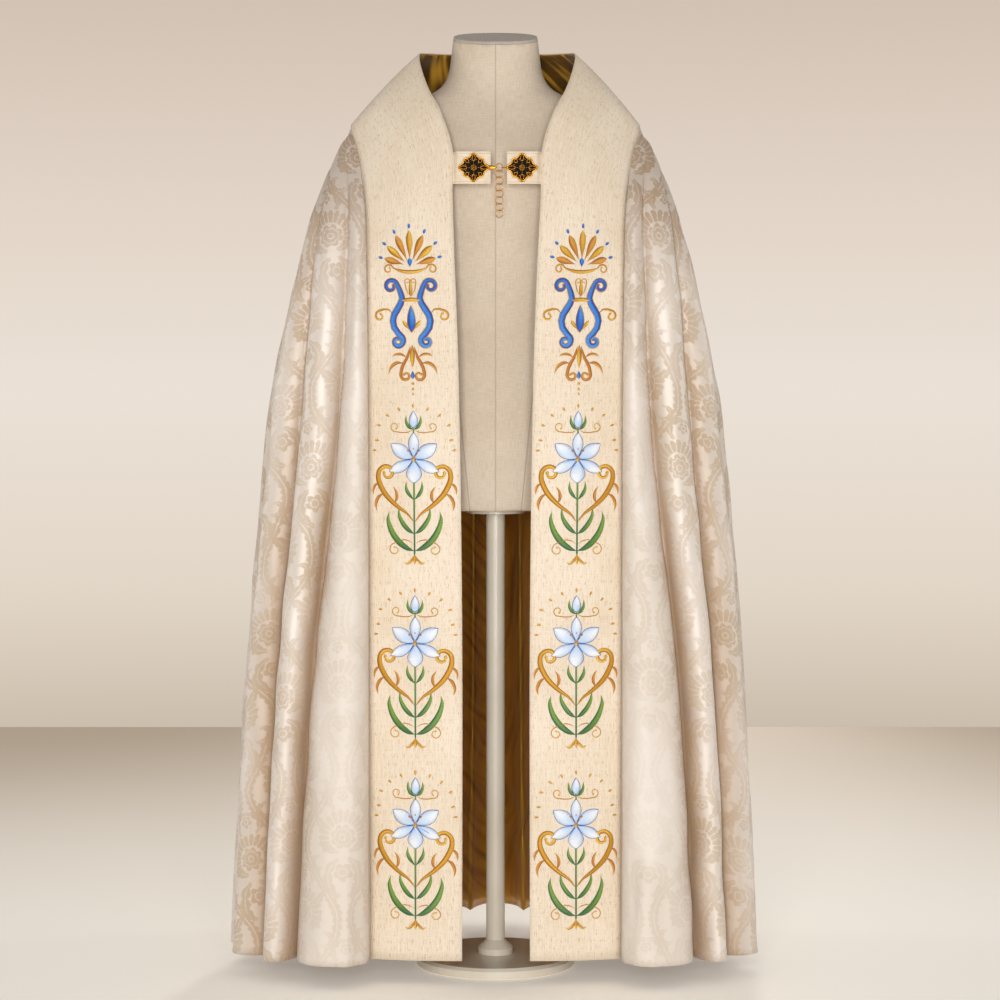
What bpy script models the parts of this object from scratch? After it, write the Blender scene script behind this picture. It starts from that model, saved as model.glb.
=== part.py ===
"""Cope vestment on a limbless dress form. Metres, +Z up, the fronts face -Y.

The cope is a half-round cloak of damask. A linen orphrey runs up each front edge, over the
shoulder and round the back of the neck, and a two-part clasp with a chain closes it.
"""
import itertools
import math

import bmesh
import bpy
import numpy as np

for leftover in list(bpy.data.objects):
    bpy.data.objects.remove(leftover)

SEAM_GAP = 0.0003
CLOTH = 0.002  # interlined damask or linen, with its lining
SATIN = 0.001
SIDES = {"right": 1, "left": -1}

# Orphrey: the line across the band at each station, from the middle of the back of the neck,
# over the shoulder and down the front to the hem.
ORPHREY = (
    # inner edge x, y, z          outer edge x, y, z
    ((0.0000, 0.0850, 1.5590), (0.0000, 0.1500, 1.4240)),
    ((0.0500, 0.0800, 1.5590), (0.0850, 0.1420, 1.4270)),
    ((0.0920, 0.0600, 1.5580), (0.1600, 0.1150, 1.4320)),
    ((0.1210, 0.0280, 1.5555), (0.2130, 0.0700, 1.4370)),
    ((0.1320, -0.0100, 1.5490), (0.2380, 0.0180, 1.4350)),
    ((0.1270, -0.0450, 1.5210), (0.2434, -0.0300, 1.4240)),
    ((0.1140, -0.0800, 1.4840), (0.2310, -0.0680, 1.3830)),
    ((0.0930, -0.1100, 1.4430), (0.2225, -0.0930, 1.3430)),
    ((0.0735, -0.1340, 1.3790), (0.2165, -0.1110, 1.3000)),
    ((0.0725, -0.1480, 1.3050), (0.2133, -0.1220, 1.2500)),
    ((0.0680, -0.1590, 1.1950), (0.2116, -0.1300, 1.1720)),
    ((0.0620, -0.1625, 1.0300), (0.2097, -0.1340, 1.0280)),
    ((0.0578, -0.1630, 0.8000), (0.2088, -0.1360, 0.8000)),
    ((0.0555, -0.1635, 0.5000), (0.2083, -0.1375, 0.5000)),
    ((0.0562, -0.1650, 0.0384), (0.2079, -0.1380, 0.0365)),
)
SHOULDER = 5
HEM = len(ORPHREY) - 1
# The opening's edges lie a little to the wearer's left: station, shift.
OPENING_SHIFT = ((0, 0.0), (4, 0.003), (8, 0.003), (10, 0.0008), (HEM, 0.0008))
BAND_BULGE = 0.006
BAND_COLUMNS = 4

# Heights of the rings of the damask body below the shoulder, down to the hem.
SHOULDER_Z = ORPHREY[SHOULDER][1][2]
HEM_Z = ORPHREY[-1][1][2]
RINGS = (1.412, 1.392, 1.362, 1.316, 1.255, 1.175, 1.075, 0.950, 0.800, 0.620, 0.430, 0.240, 0.110, HEM_Z)

# The curve through the bottoms of the folds, in plan, at each height.
SECTIONS = (
    # z, half width, y of the widest point, y at the middle of the back
    (1.424, 0.2434, -0.030, 0.150),
    (1.397, 0.2560, -0.028, 0.158),
    (1.349, 0.2740, -0.024, 0.168),
    (1.270, 0.2970, -0.018, 0.178),
    (1.139, 0.3275, -0.010, 0.192),
    (0.978, 0.3545, -0.004, 0.210),
    (0.661, 0.3765, 0.000, 0.244),
    (0.364, 0.3880, 0.002, 0.270),
    (0.036, 0.3960, 0.004, 0.295),
)
FRONT_SQUARENESS = 0.65
BACK_SQUARENESS = 0.85

# Folds of the body on one side, from the seam to the middle of the back. Each row gives the
# valley that ends the fold as a share of the way round, and how far its ridge stands out.
FOLDS = (
    # share at shoulder, one third down, two thirds down, hem, left nudge,
    # depth right, depth left, lean, start height
    (0.050, 0.066, 0.122, 0.148, 0.000, 0.066, 0.068, 0.80, 1.34),
    (0.165, 0.164, 0.198, 0.203, 0.000, 0.054, 0.055, 1.00, 1.42),
    (0.262, 0.262, 0.284, 0.290, 0.000, 0.056, 0.057, 1.00, 1.42),
    (0.385, 0.390, 0.395, 0.392, -0.006, 0.054, 0.058, 1.10, 1.38),
    (0.455, 0.450, 0.462, 0.468, 0.008, 0.046, 0.042, 1.00, 1.31),
    (0.575, 0.570, 0.578, 0.585, -0.010, 0.062, 0.058, 0.90, 1.37),
    (0.650, 0.655, 0.660, 0.662, 0.004, 0.044, 0.050, 1.00, 1.28),
    (0.765, 0.760, 0.758, 0.765, 0.010, 0.058, 0.054, 1.10, 1.36),
    (0.850, 0.855, 0.852, 0.850, -0.008, 0.048, 0.056, 1.00, 1.30),
    (0.945, 0.940, 0.942, 0.938, 0.006, 0.054, 0.048, 0.95, 1.34),
    (1.055, 1.060, 1.058, 1.062, 0.000, 0.060, 0.060, 1.00, 1.37),
)
FOLD_COLUMNS = 5
FOLD_GROWTH = 0.62
FOLD_SPREAD = 0.05

# Lining of the standing part of the orphrey: shares across it, and rows from mid back.
LINING_ACROSS = (0.03, 0.75)
LINING_ROWS = 57

# Clasp: tabs, plates, hook, loop and chain.
CLASP_Z = 1.3480
TAB_HEIGHT = 0.053
TAB_DEPTH = 0.0016
TAB_Y = -0.1500
TAB_TUCK = 0.07  # share of the band's width
TAB_BEND = 0.006  # from the orphrey's edge to where the tab lies flat
TAB_END_X = {"right": 0.0188, "left": -0.0078}
PLATE_X = {"right": 0.0436, "left": -0.0358}
PLATE_DEPTH = 0.0022
PLATE_WIDTH = 0.053
PLATE_HEIGHT = 0.049
PLATE_POINTS = 48
LEAF_HOLE = (0.0065, 0.0175, 0.0026)  # start and end from the middle, half width
ROUND_HOLE = 0.0022
ROUND_HOLE_AT = (0.0088, 0.0085)  # x and z from the middle
CUT_PAST = 0.001
WIRE = 0.0007
HOOK_WIRE = 0.0007
HOOK_HEIGHTS = (0.0034, 0.0031, 0.0016)  # half heights of the hook's neck; the bend is round wire
HOOK_BEND = 0.0019
LOOP_RADIUS = 0.0036
RING_RADIUS = 0.00625
RING_COUNT = 8
RING_X = 0.0063
RING_Y = -0.1531
RING_TWIST = math.radians(20)
RING_PITCH = 2 * RING_RADIUS - 2 * WIRE - SEAM_GAP

# Dress form: the rings of the covered torso and neck. The neck tilts forward.
TORSO = (
    # z, half width, front y, back y, tilt in degrees
    (0.7800, 0.1580, -0.088, 0.100, 0),
    (0.7860, 0.1660, -0.094, 0.108, 0),
    (0.8800, 0.1740, -0.100, 0.118, 0),
    (0.9800, 0.1660, -0.098, 0.108, 0),
    (1.0700, 0.1500, -0.094, 0.092, 0),
    (1.1800, 0.1600, -0.106, 0.098, 0),
    (1.2900, 0.1860, -0.114, 0.110, 0),
    (1.3500, 0.2140, -0.108, 0.112, 0),
    (1.3900, 0.2335, -0.096, 0.108, 0),
    (1.4150, 0.2392, -0.084, 0.102, 0),
    (1.4350, 0.2290, -0.074, 0.094, 0),
    (1.4530, 0.2000, -0.066, 0.086, 0),
    (1.4680, 0.1550, -0.060, 0.078, 1),
    (1.4800, 0.1160, -0.057, 0.072, 2),
    (1.4930, 0.0920, -0.055, 0.068, 4),
    (1.5150, 0.0790, -0.054, 0.066, 8),
    (1.5450, 0.0755, -0.054, 0.065, 12),
    (1.5745, 0.0722, -0.053, 0.063, 14),
)
TORSO_POINTS = 32
SQUARENESS = 0.86
CAP_DEPTH = 0.005
POLE_RADIUS = 0.016
BASE_RADIUS = 0.135
BASE_DEPTH = 0.018


def material(name, colour, roughness, metallic=0.0):
    made = bpy.data.materials.new(name)
    made.use_nodes = True
    shader = made.node_tree.nodes["Principled BSDF"]
    shader.inputs["Base Color"].default_value = (*colour, 1.0)
    shader.inputs["Roughness"].default_value = roughness
    shader.inputs["Metallic"].default_value = metallic
    return made


DAMASK = material("ivory damask", (0.80, 0.71, 0.60), 0.50)
LINEN = material("slub linen", (0.82, 0.72, 0.56), 0.85)
LINING = material("gold satin", (0.42, 0.25, 0.03), 0.40)
FORM_LINEN = material("form linen", (0.72, 0.62, 0.50), 0.90)
BRONZE = material("antique gold", (0.60, 0.42, 0.14), 0.38, 1.0)
PAINTED = material("cream painted steel", (0.70, 0.64, 0.54), 0.40)


def place(name, mesh, finish, smooth=True):
    """One object from a bmesh, faces turned outwards."""
    bmesh.ops.recalc_face_normals(mesh, faces=mesh.faces)
    if mesh.calc_volume(signed=True) < 0:
        bmesh.ops.reverse_faces(mesh, faces=mesh.faces)
    data = bpy.data.meshes.new(name)
    mesh.to_mesh(data)
    mesh.free()
    data.materials.append(finish)
    if smooth:
        data.shade_smooth()
        data.set_sharp_from_angle(angle=math.radians(50))
    made = bpy.data.objects.new(name, data)
    bpy.context.scene.collection.objects.link(made)
    return made


def through(rows, at):
    """Cubic curve through table rows at their indices, read at fractional index at."""
    rows = np.asarray(rows, float)
    at = np.clip(np.asarray(at, float), 0, len(rows) - 1)
    low = np.minimum(at.astype(int), len(rows) - 2)
    part = at - low
    slopes = np.gradient(rows, axis=0)
    part = part.reshape(part.shape + (1,) * (rows.ndim - 1))
    a, b = rows[low], rows[low + 1]
    return (
        a * (2 * part**3 - 3 * part**2 + 1)
        + slopes[low] * (part**3 - 2 * part**2 + part)
        + b * (3 * part**2 - 2 * part**3)
        + slopes[low + 1] * (part**3 - part**2)
    )


def unit(vectors):
    return vectors / np.linalg.norm(vectors, axis=-1, keepdims=True)


def grid_normals(grid):
    """Unit normals of a grid of points, along columns cross along rows."""
    across = np.gradient(grid, axis=1)
    along = np.gradient(grid, axis=0)
    return unit(np.cross(across, along))


def wall(name, grid, normals, depth, finish):
    """A closed wall: the grid is its outer face and the inner face lies depth behind it.

    Each quad is split along its shorter diagonal, the same way on both faces. The rim is split
    from its lower corners, so that two walls that share a seam have rims that match.
    """
    mesh = bmesh.new()
    rows, columns = grid.shape[:2]
    faces = []
    for shift in (0, depth):
        points = grid - normals * shift
        faces.append([[mesh.verts.new(point) for point in row] for row in points])
    for row in range(rows - 1):
        for column in range(columns - 1):
            corners = ((row, column), (row, column + 1), (row + 1, column + 1), (row + 1, column))
            spots = [grid[corner] for corner in corners]
            if np.linalg.norm(spots[0] - spots[2]) < np.linalg.norm(spots[1] - spots[3]):
                halves = ((0, 1, 2), (0, 2, 3))
            else:
                halves = ((0, 1, 3), (1, 2, 3))
            for face in faces:
                for half in halves:
                    mesh.faces.new([face[corners[k][0]][corners[k][1]] for k in half])
    outer, inner = faces
    rim = [(0, c) for c in range(columns)]
    rim += [(r, columns - 1) for r in range(1, rows)]
    rim += [(rows - 1, c) for c in range(columns - 2, -1, -1)]
    rim += [(r, 0) for r in range(rows - 2, 0, -1)]
    for spot, following in zip(rim, rim[1:] + rim[:1]):
        (r, c), (s, d) = sorted((spot, following), key=lambda at: grid[at][2])
        mesh.faces.new((outer[r][c], outer[s][d], inner[s][d]))
        mesh.faces.new((outer[r][c], inner[s][d], inner[r][c]))
    return place(name, mesh, finish)


def band_lines(station):
    """Inner and outer edge points at a station: positive on the right, negative on the left."""
    right = np.array(ORPHREY)
    whole = np.concatenate([right[:0:-1] * [-1, 1, 1], right])
    inner, outer = through(whole, station + HEM)
    inner = inner + [np.interp(abs(station), *zip(*OPENING_SHIFT)), 0, 0]
    return inner, outer


def band_point(station, share):
    """A point of the band: share 0 is its inner edge and 1 its outer edge."""
    inner, outer = band_lines(station)
    chord = outer - inner
    ahead = np.mean(band_lines(station + 0.01), axis=0)
    behind = np.mean(band_lines(station - 0.01), axis=0)
    outwards = unit(np.cross(ahead - behind, chord))
    return inner + chord * share + outwards * BAND_BULGE * 4 * share * (1 - share)


def band_normal(station, share):
    station = min(max(station, 0.02 - HEM), HEM - 0.02)
    along = band_point(station + 0.01, share) - band_point(station - 0.01, share)
    across = band_point(station, share + 0.01) - band_point(station, share - 0.01)
    return unit(np.cross(along, across))


def band_patch(stations, shares):
    """Grids of points and outward normals of the band."""
    points = [[band_point(station, share) for share in shares] for station in stations]
    normals = [[band_normal(station, share) for share in shares] for station in stations]
    return np.array(points), np.array(normals)


def neck_stations():
    """Stations of the body's columns along its neck seam, from the shoulder to mid back."""
    fine = np.linspace(SHOULDER, 0, 400)
    edge = np.array([band_lines(station)[1] for station in fine])
    run = lengths(edge)
    columns = (len(FOLDS) - 1) * FOLD_COLUMNS + FOLD_COLUMNS // 2 + 1
    return np.interp(np.linspace(0, run[-1], columns), run, fine)


def front_stations():
    """Stations of the body's rings along its front seam."""
    fine = np.linspace(SHOULDER, HEM, 2000)
    heights = np.array([band_lines(station)[1][2] for station in fine])
    return np.interp([-z for z in RINGS], -heights, fine)


def lengths(points):
    """Distance run along a line of points, at each point."""
    steps = np.linalg.norm(np.diff(points, axis=0), axis=1)
    return np.concatenate([[0], np.cumsum(steps)])


NECK_STATIONS = neck_stations()
FRONT_STATIONS = front_stations()


def section_curve(z):
    """The plan curve through the fold bottoms at height z, right side, seam to mid back."""
    at = float(np.interp(-z, [-row[0] for row in SECTIONS], range(len(SECTIONS))))
    _, half_width, widest_y, back_y = through(SECTIONS, at)
    heights = [-ring for ring in (SHOULDER_Z, *RINGS)]
    station = float(np.interp(-z, heights, [SHOULDER, *FRONT_STATIONS]))
    seam_x, seam_y = band_lines(station)[1][:2]
    turn = np.linspace(0, math.pi / 2, 60)
    front = np.stack([
        seam_x + (half_width - seam_x) * np.sin(turn) ** FRONT_SQUARENESS,
        widest_y + (seam_y - widest_y) * np.cos(turn).clip(0) ** FRONT_SQUARENESS,
    ], axis=1)
    back = np.stack([
        half_width * np.cos(turn).clip(0) ** BACK_SQUARENESS,
        widest_y + (back_y - widest_y) * np.sin(turn),
    ], axis=1)
    return np.concatenate([front, back[1:]])


def fold_points(z, side):
    """Points of one side of the body at height z, from the seam to the middle of the back."""
    curve = section_curve(z)
    whole = lengths(curve)[-1]
    curve = np.concatenate([curve, curve[-2:-12:-1] * [-1, 1]])
    run = lengths(curve)
    drop = (SHOULDER_Z - z) / (SHOULDER_Z - HEM_Z)

    def on_curve(at):
        return np.array([np.interp(at, run, curve[:, axis]) for axis in (0, 1)])

    points = []
    start = 0.0
    for *shares, nudge, right, left, lean, height in FOLDS:
        end = float(through(shares, 3 * drop))
        reach = right if side == "right" else left
        end += 0 if side == "right" else nudge
        grown = max(0.0, (height - z) / (height - HEM_Z)) ** FOLD_GROWTH
        last = end > 1
        parts = np.arange(FOLD_COLUMNS) / FOLD_COLUMNS
        if last:
            parts = np.linspace(0, 0.5, FOLD_COLUMNS // 2 + 1)
        for share in parts:
            spread = FOLD_SPREAD * grown * math.sin(2 * math.pi * share)
            at = (start + (end - start) * (share - spread)) * whole
            way = unit(on_curve(at + 0.004) - on_curve(at - 0.004))
            out = reach * grown * math.sin(math.pi * share**lean)
            points.append((*(on_curve(at) + out * np.array([way[1], -way[0]])), z))
        start = end
    return np.array(points)


def body_half(side):
    """Grid of one half of the body: the neck seam first, then each ring down to the hem."""
    neck = [band_lines(station)[1] for station in NECK_STATIONS]
    grid = np.array([neck] + [fold_points(z, side) for z in RINGS])
    grid[:, -1, 0] = 0
    return grid * [SIDES[side], 1, 1]


def make_cope():
    """Body and both orphreys. At a seam both walls share one slant, so they stay apart."""
    right = body_half("right")[:, -2::-1]
    grid = np.concatenate([body_half("left"), right], axis=1)
    normals = grid_normals(grid)
    moved = grid.copy()
    corner = len(NECK_STATIONS) - 1
    bands = {}
    for side, sign in SIDES.items():
        stations = np.concatenate([NECK_STATIONS[::-1], FRONT_STATIONS])
        band, slants = band_patch(sign * stations, np.linspace(0, 1, BAND_COLUMNS + 1))
        edge = 0 if side == "left" else grid.shape[1] - 1
        seam = [(0, edge - sign * (corner - row)) for row in range(corner + 1)]
        seam += [(ring, edge) for ring in range(1, len(RINGS) + 1)]
        tangents = np.gradient(band[:, -1], axis=0)
        for row, spot in enumerate(seam):
            shared = unit(normals[spot] + slants[row, -1])
            normals[spot] = shared
            slants[row, -1] = shared
            moved[spot] = grid[spot] + unit(np.cross(shared, tangents[row])) * SEAM_GAP * sign
        band[0, :, 0] = sign * SEAM_GAP / 2
        slants[0, :, 0] = 0
        bands[side] = (band, unit(slants))
        wall("orphrey_" + side, *bands[side], CLOTH, LINEN)
    wall("body", moved, normals, CLOTH, DAMASK)
    return bands


def behind_band(band, row, column):
    """A point just behind the wall of an orphrey, and its normal, at a fractional row and column."""
    points, normals = band
    spot = []
    for grid in (points, normals):
        low, left = min(int(row), len(grid) - 2), min(int(column), BAND_COLUMNS - 1)
        upper = grid[low, left] + (grid[low, left + 1] - grid[low, left]) * (column - left)
        lower = grid[low + 1, left] + (grid[low + 1, left + 1] - grid[low + 1, left]) * (column - left)
        spot.append(upper + (lower - upper) * (row - low))
    return spot[0] - spot[1] * (CLOTH + SEAM_GAP), unit(spot[1])


def make_lining(bands):
    """Follows both orphreys' own rows, so that it lies flat on their backs."""
    columns = [LINING_ACROSS[0] * BAND_COLUMNS, *range(1, int(LINING_ACROSS[1] * BAND_COLUMNS) + 1)]
    rows = range(LINING_ROWS)
    left = [[behind_band(bands["left"], row, column) for column in columns] for row in rows]
    right = [[behind_band(bands["right"], row, column) for column in columns] for row in rows]
    whole = np.array(left[::-1] + right[1:])
    wall("collar_lining", whole[:, :, 0], whole[:, :, 1], SATIN, LINING)


def make_tab(side, band):
    """A flat strip that comes out from behind the orphrey's inner edge."""
    sign = SIDES[side]
    front = np.array([0, -1, 0])
    heights = -band[0][:, 0, 2]
    rows = []
    slants = []
    for z in (CLASP_Z + TAB_HEIGHT / 2, CLASP_Z, CLASP_Z - TAB_HEIGHT / 2):
        row = float(np.interp(-z, heights, range(len(heights))))
        hidden, hidden_slant = behind_band(band, row, TAB_TUCK * BAND_COLUMNS)
        edge, edge_slant = behind_band(band, row, 0.0)
        bend = (edge[0] - sign * TAB_BEND, TAB_Y, z)
        end = (TAB_END_X[side], TAB_Y, z)
        rows.append([hidden, edge, bend, end])
        slants.append([hidden_slant, edge_slant, front, front])
    wall("tab_" + side, np.array(rows), np.array(slants), TAB_DEPTH, LINEN)


def tube(route, radius, sides=8, closed=False, heights=()):
    """A bmesh tube along a list of points that lie in one plane or nearly so.

    Its first points can have other half heights, square to that plane.
    """
    mesh = bmesh.new()
    route = np.array(route)
    if closed:
        ways = np.roll(route, -1, axis=0) - np.roll(route, 1, axis=0)
    else:
        ways = np.gradient(route, axis=0)
    flat = np.linalg.svd(route - route.mean(axis=0))[2][-1]
    turns = [2 * math.pi * step / sides for step in range(sides)]
    rings = []
    for point, way, height in itertools.zip_longest(route, unit(ways), heights, fillvalue=radius):
        out = np.cross(way, flat)
        rings.append([
            mesh.verts.new(point + radius * math.cos(turn) * out + height * math.sin(turn) * flat)
            for turn in turns
        ])
    pairs = list(zip(rings, rings[1:] + rings[:1]))
    for ring, following in pairs if closed else pairs[:-1]:
        for step in range(sides):
            other = (step + 1) % sides
            mesh.faces.new((ring[step], ring[other], following[other], following[step]))
    if not closed:
        mesh.faces.new(rings[0])
        mesh.faces.new(rings[-1])
    return mesh


def circle(centre, radius, first, second, points):
    """Points round a circle that lies along the directions first and second."""
    turns = [2 * math.pi * step / points for step in range(points)]
    first, second = np.array(first), np.array(second)
    return [centre + radius * (math.cos(turn) * first + math.sin(turn) * second) for turn in turns]


def helper(mesh, name):
    """A hidden object that a Boolean uses."""
    made = place(name, mesh, BRONZE)
    made.hide_render = True
    made.display_type = "WIRE"
    return made


def combine(target, other, operation):
    modifier = target.modifiers.new(other.name, "BOOLEAN")
    modifier.operation = operation
    modifier.object = other
    modifier.solver = "MANIFOLD"


def add_prism(mesh, outline, centre, back, front):
    """Adds to mesh a prism of an outline in the XZ plane, from y back to y front."""
    walls = []
    for y in (back, front):
        walls.append([mesh.verts.new((centre[0] + x, y, centre[1] + z)) for x, z in outline])
    mesh.faces.new(walls[0])
    mesh.faces.new(walls[1][::-1])
    for step, _ in enumerate(outline):
        other = (step + 1) % len(outline)
        mesh.faces.new((walls[0][step], walls[1][step], walls[1][other], walls[0][other]))


def plate_outline():
    """A lozenge of four pointed leaves with a round lobe in each corner between them."""
    points = []
    for step in range(PLATE_POINTS):
        turn = 2 * math.pi * step / PLATE_POINTS
        tip = max(abs(math.cos(turn)), abs(math.sin(turn))) ** 14
        lobe = abs(math.sin(2 * turn)) ** 4
        reach = 0.555 + 0.445 * tip + 0.285 * lobe
        points.append((reach * math.cos(turn) * PLATE_WIDTH / 2, reach * math.sin(turn) * PLATE_HEIGHT / 2))
    return points


def leaf_outline(turn, start, end, width):
    """A pointed leaf along the direction turn, for a pierced hole."""
    points = []
    for share, side in ((0, 0), (0.3, 1), (0.6, 0.8), (1, 0), (0.6, -0.8), (0.3, -1)):
        along = start + (end - start) * share
        across = width * side
        points.append((
            along * math.cos(turn) - across * math.sin(turn),
            along * math.sin(turn) + across * math.cos(turn),
        ))
    return points


def make_plate(side):
    """A cast plate, pierced by four leaves and four round holes."""
    centre = (PLATE_X[side], CLASP_Z)
    back = TAB_Y - SEAM_GAP
    front = back - PLATE_DEPTH
    mesh = bmesh.new()
    add_prism(mesh, plate_outline(), centre, back, front)
    plate = place("clasp_" + side, mesh, BRONZE, False)
    holes = bmesh.new()
    for quarter in range(4):
        leaf = leaf_outline(quarter * math.pi / 2, *LEAF_HOLE)
        add_prism(holes, leaf, centre, back + CUT_PAST, front - CUT_PAST)
    eighths = [step * math.pi / 4 for step in range(8)]
    round_hole = [(ROUND_HOLE * math.cos(turn), ROUND_HOLE * math.sin(turn)) for turn in eighths]
    for right, up in itertools.product((1, -1), repeat=2):
        spot = (centre[0] + right * ROUND_HOLE_AT[0], centre[1] + up * ROUND_HOLE_AT[1])
        add_prism(holes, round_hole, spot, back + CUT_PAST, front - CUT_PAST)
    combine(plate, helper(holes, "cut_holes_" + side), "DIFFERENCE")
    return plate


def make_clasp():
    """Both plates, the hook on the left one and the loop on the right one."""
    middle = TAB_Y - SEAM_GAP - PLATE_DEPTH / 2
    reach = RING_RADIUS * np.array([math.cos(RING_TWIST), math.sin(RING_TWIST), 0])
    centre = np.array([RING_X, RING_Y, CLASP_Z])
    held = centre - reach
    tip = PLATE_X["left"] + PLATE_WIDTH / 2
    hook = [(tip - 0.003, middle, CLASP_Z), (tip + 0.001, middle - 0.0002, CLASP_Z)]
    hook += [(held[0] - 0.0035, held[1] + HOOK_BEND - 0.0001, CLASP_Z)]
    for step in range(7):
        turn = math.pi / 2 - math.pi * step / 6
        hook.append((held[0] + HOOK_BEND * math.cos(turn), held[1] + HOOK_BEND * math.sin(turn), CLASP_Z))
    hook += [(held[0] - 0.003, held[1] - HOOK_BEND, CLASP_Z)]
    combine(make_plate("left"), helper(tube(hook, HOOK_WIRE, heights=HOOK_HEIGHTS), "hook"), "UNION")
    eye = np.array([PLATE_X["right"] - PLATE_WIDTH / 2 - LOOP_RADIUS + 0.0006, middle + 0.0004, CLASP_Z])
    loop = tube(circle(eye, LOOP_RADIUS, (1, 0, 0), (0, 1, 0), 16), WIRE, closed=True)
    combine(make_plate("right"), helper(loop, "loop"), "UNION")


def make_chain():
    """Rings turned to one side and the other by turns, each hung on the wire of the one above.

    A ring's object stands on the middle of that wire, where the ring swings.
    """
    for index in range(RING_COUNT):
        twist = RING_TWIST * (1 if index % 2 == 0 else -1)
        centre = np.array([RING_X, RING_Y, CLASP_Z - index * RING_PITCH])
        across = (math.cos(twist), math.sin(twist), 0)
        hung = centre + [0, 0, RING_RADIUS - 2 * WIRE - SEAM_GAP]
        ring = tube(circle(centre - hung, RING_RADIUS, across, (0, 0, 1), 20), WIRE, 6, closed=True)
        place(f"ring_{index + 1}", ring, BRONZE).location = hung


def make_form():
    """Linen covered torso and neck, and the flat cap on the neck."""
    mesh = bmesh.new()
    rings = []
    for z, half_width, front, back, tilt in TORSO:
        points = []
        for step in range(TORSO_POINTS):
            turn = 2 * math.pi * step / TORSO_POINTS
            cosine, sine = math.cos(turn), math.sin(turn)
            x = half_width * math.copysign(abs(cosine) ** SQUARENESS, cosine)
            swing = (back - front) / 2 * math.copysign(abs(sine) ** SQUARENESS, sine)
            lift = swing * math.tan(math.radians(tilt))
            points.append(mesh.verts.new((x, (front + back) / 2 + swing, z + lift)))
        rings.append(points)
    for ring, above in zip(rings, rings[1:]):
        for step in range(TORSO_POINTS):
            other = (step + 1) % TORSO_POINTS
            mesh.faces.new((ring[step], ring[other], above[other], above[step]))
    mesh.faces.new(rings[0])
    mesh.faces.new(rings[-1])
    top = [tuple(vert.co) for vert in rings[-1]]
    place("form_torso", mesh, FORM_LINEN)
    cap = bmesh.new()
    lower = [cap.verts.new((x, y, z + SEAM_GAP)) for x, y, z in top]
    upper = [cap.verts.new((x * 0.985, y * 0.985, z + SEAM_GAP + CAP_DEPTH)) for x, y, z in top]
    cap.faces.new(lower)
    cap.faces.new(upper)
    for step in range(TORSO_POINTS):
        other = (step + 1) % TORSO_POINTS
        cap.faces.new((lower[step], lower[other], upper[other], upper[step]))
    place("form_cap", cap, FORM_LINEN)


def turned(name, profile, finish, steps=32):
    """A solid turned on the Z axis from a profile of radius and height."""
    mesh = bmesh.new()
    verts = [mesh.verts.new((radius, 0, z)) for radius, z in profile]
    edges = [mesh.edges.new(pair) for pair in zip(verts, verts[1:])]
    bmesh.ops.spin(
        mesh,
        geom=verts + edges,
        cent=(0, 0, 0),
        axis=(0, 0, 1),
        angle=2 * math.pi,
        steps=steps,
        use_merge=True,
    )
    bmesh.ops.remove_doubles(mesh, verts=mesh.verts, dist=1e-6)
    place(name, mesh, finish)


def make_stand():
    top = TORSO[0][0] - SEAM_GAP
    foot = BASE_DEPTH + SEAM_GAP
    turned("stand_pole", (
        (0, foot),
        (0.030, foot),
        (0.030, foot + 0.010),
        (POLE_RADIUS, foot + 0.024),
        (POLE_RADIUS, top - 0.008),
        (0.050, top - 0.006),
        (0.050, top),
        (0, top),
    ), PAINTED)
    turned("stand_base", (
        (0, 0),
        (BASE_RADIUS - 0.002, 0),
        (BASE_RADIUS, 0.002),
        (BASE_RADIUS, BASE_DEPTH - 0.005),
        (BASE_RADIUS - 0.005, BASE_DEPTH),
        (0, BASE_DEPTH),
    ), PAINTED, 48)


orphreys = make_cope()
make_lining(orphreys)
for each_side, orphrey in orphreys.items():
    make_tab(each_side, orphrey)
make_clasp()
make_chain()
make_form()
make_stand()
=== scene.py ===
import math

import bmesh
import bpy
import numpy as np
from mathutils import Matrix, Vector


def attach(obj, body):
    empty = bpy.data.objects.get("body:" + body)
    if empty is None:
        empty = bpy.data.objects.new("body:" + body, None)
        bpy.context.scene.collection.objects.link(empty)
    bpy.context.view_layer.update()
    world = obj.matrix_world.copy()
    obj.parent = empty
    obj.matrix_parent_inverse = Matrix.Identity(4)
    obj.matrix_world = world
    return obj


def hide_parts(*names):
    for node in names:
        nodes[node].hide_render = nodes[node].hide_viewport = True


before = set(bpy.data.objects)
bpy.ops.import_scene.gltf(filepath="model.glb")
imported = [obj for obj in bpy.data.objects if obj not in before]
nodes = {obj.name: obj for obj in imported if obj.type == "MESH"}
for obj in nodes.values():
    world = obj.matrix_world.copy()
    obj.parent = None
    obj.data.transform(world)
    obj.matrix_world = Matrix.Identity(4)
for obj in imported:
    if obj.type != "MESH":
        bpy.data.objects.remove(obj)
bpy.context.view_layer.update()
link = bpy.context.scene.collection.objects.link

# Camera: at chest height with a long lens, tipped down a little to the middle of the cope.
CAMERA_PLACE = (0, -4.665, 1.0)
CAMERA_AIM_Z = 0.7955
camera_data = bpy.data.cameras.new("camera")
camera_data.lens = 98.65
camera_data.sensor_width = 36
camera_data.shift_x = 0.0045
camera = bpy.data.objects.new("camera", camera_data)
camera.location = CAMERA_PLACE
tip = math.atan((CAMERA_PLACE[2] - CAMERA_AIM_Z) / -CAMERA_PLACE[1])
camera.rotation_euler = (math.pi / 2 - tip, 0, 0)
link(camera)
bpy.context.scene.camera = camera


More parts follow.
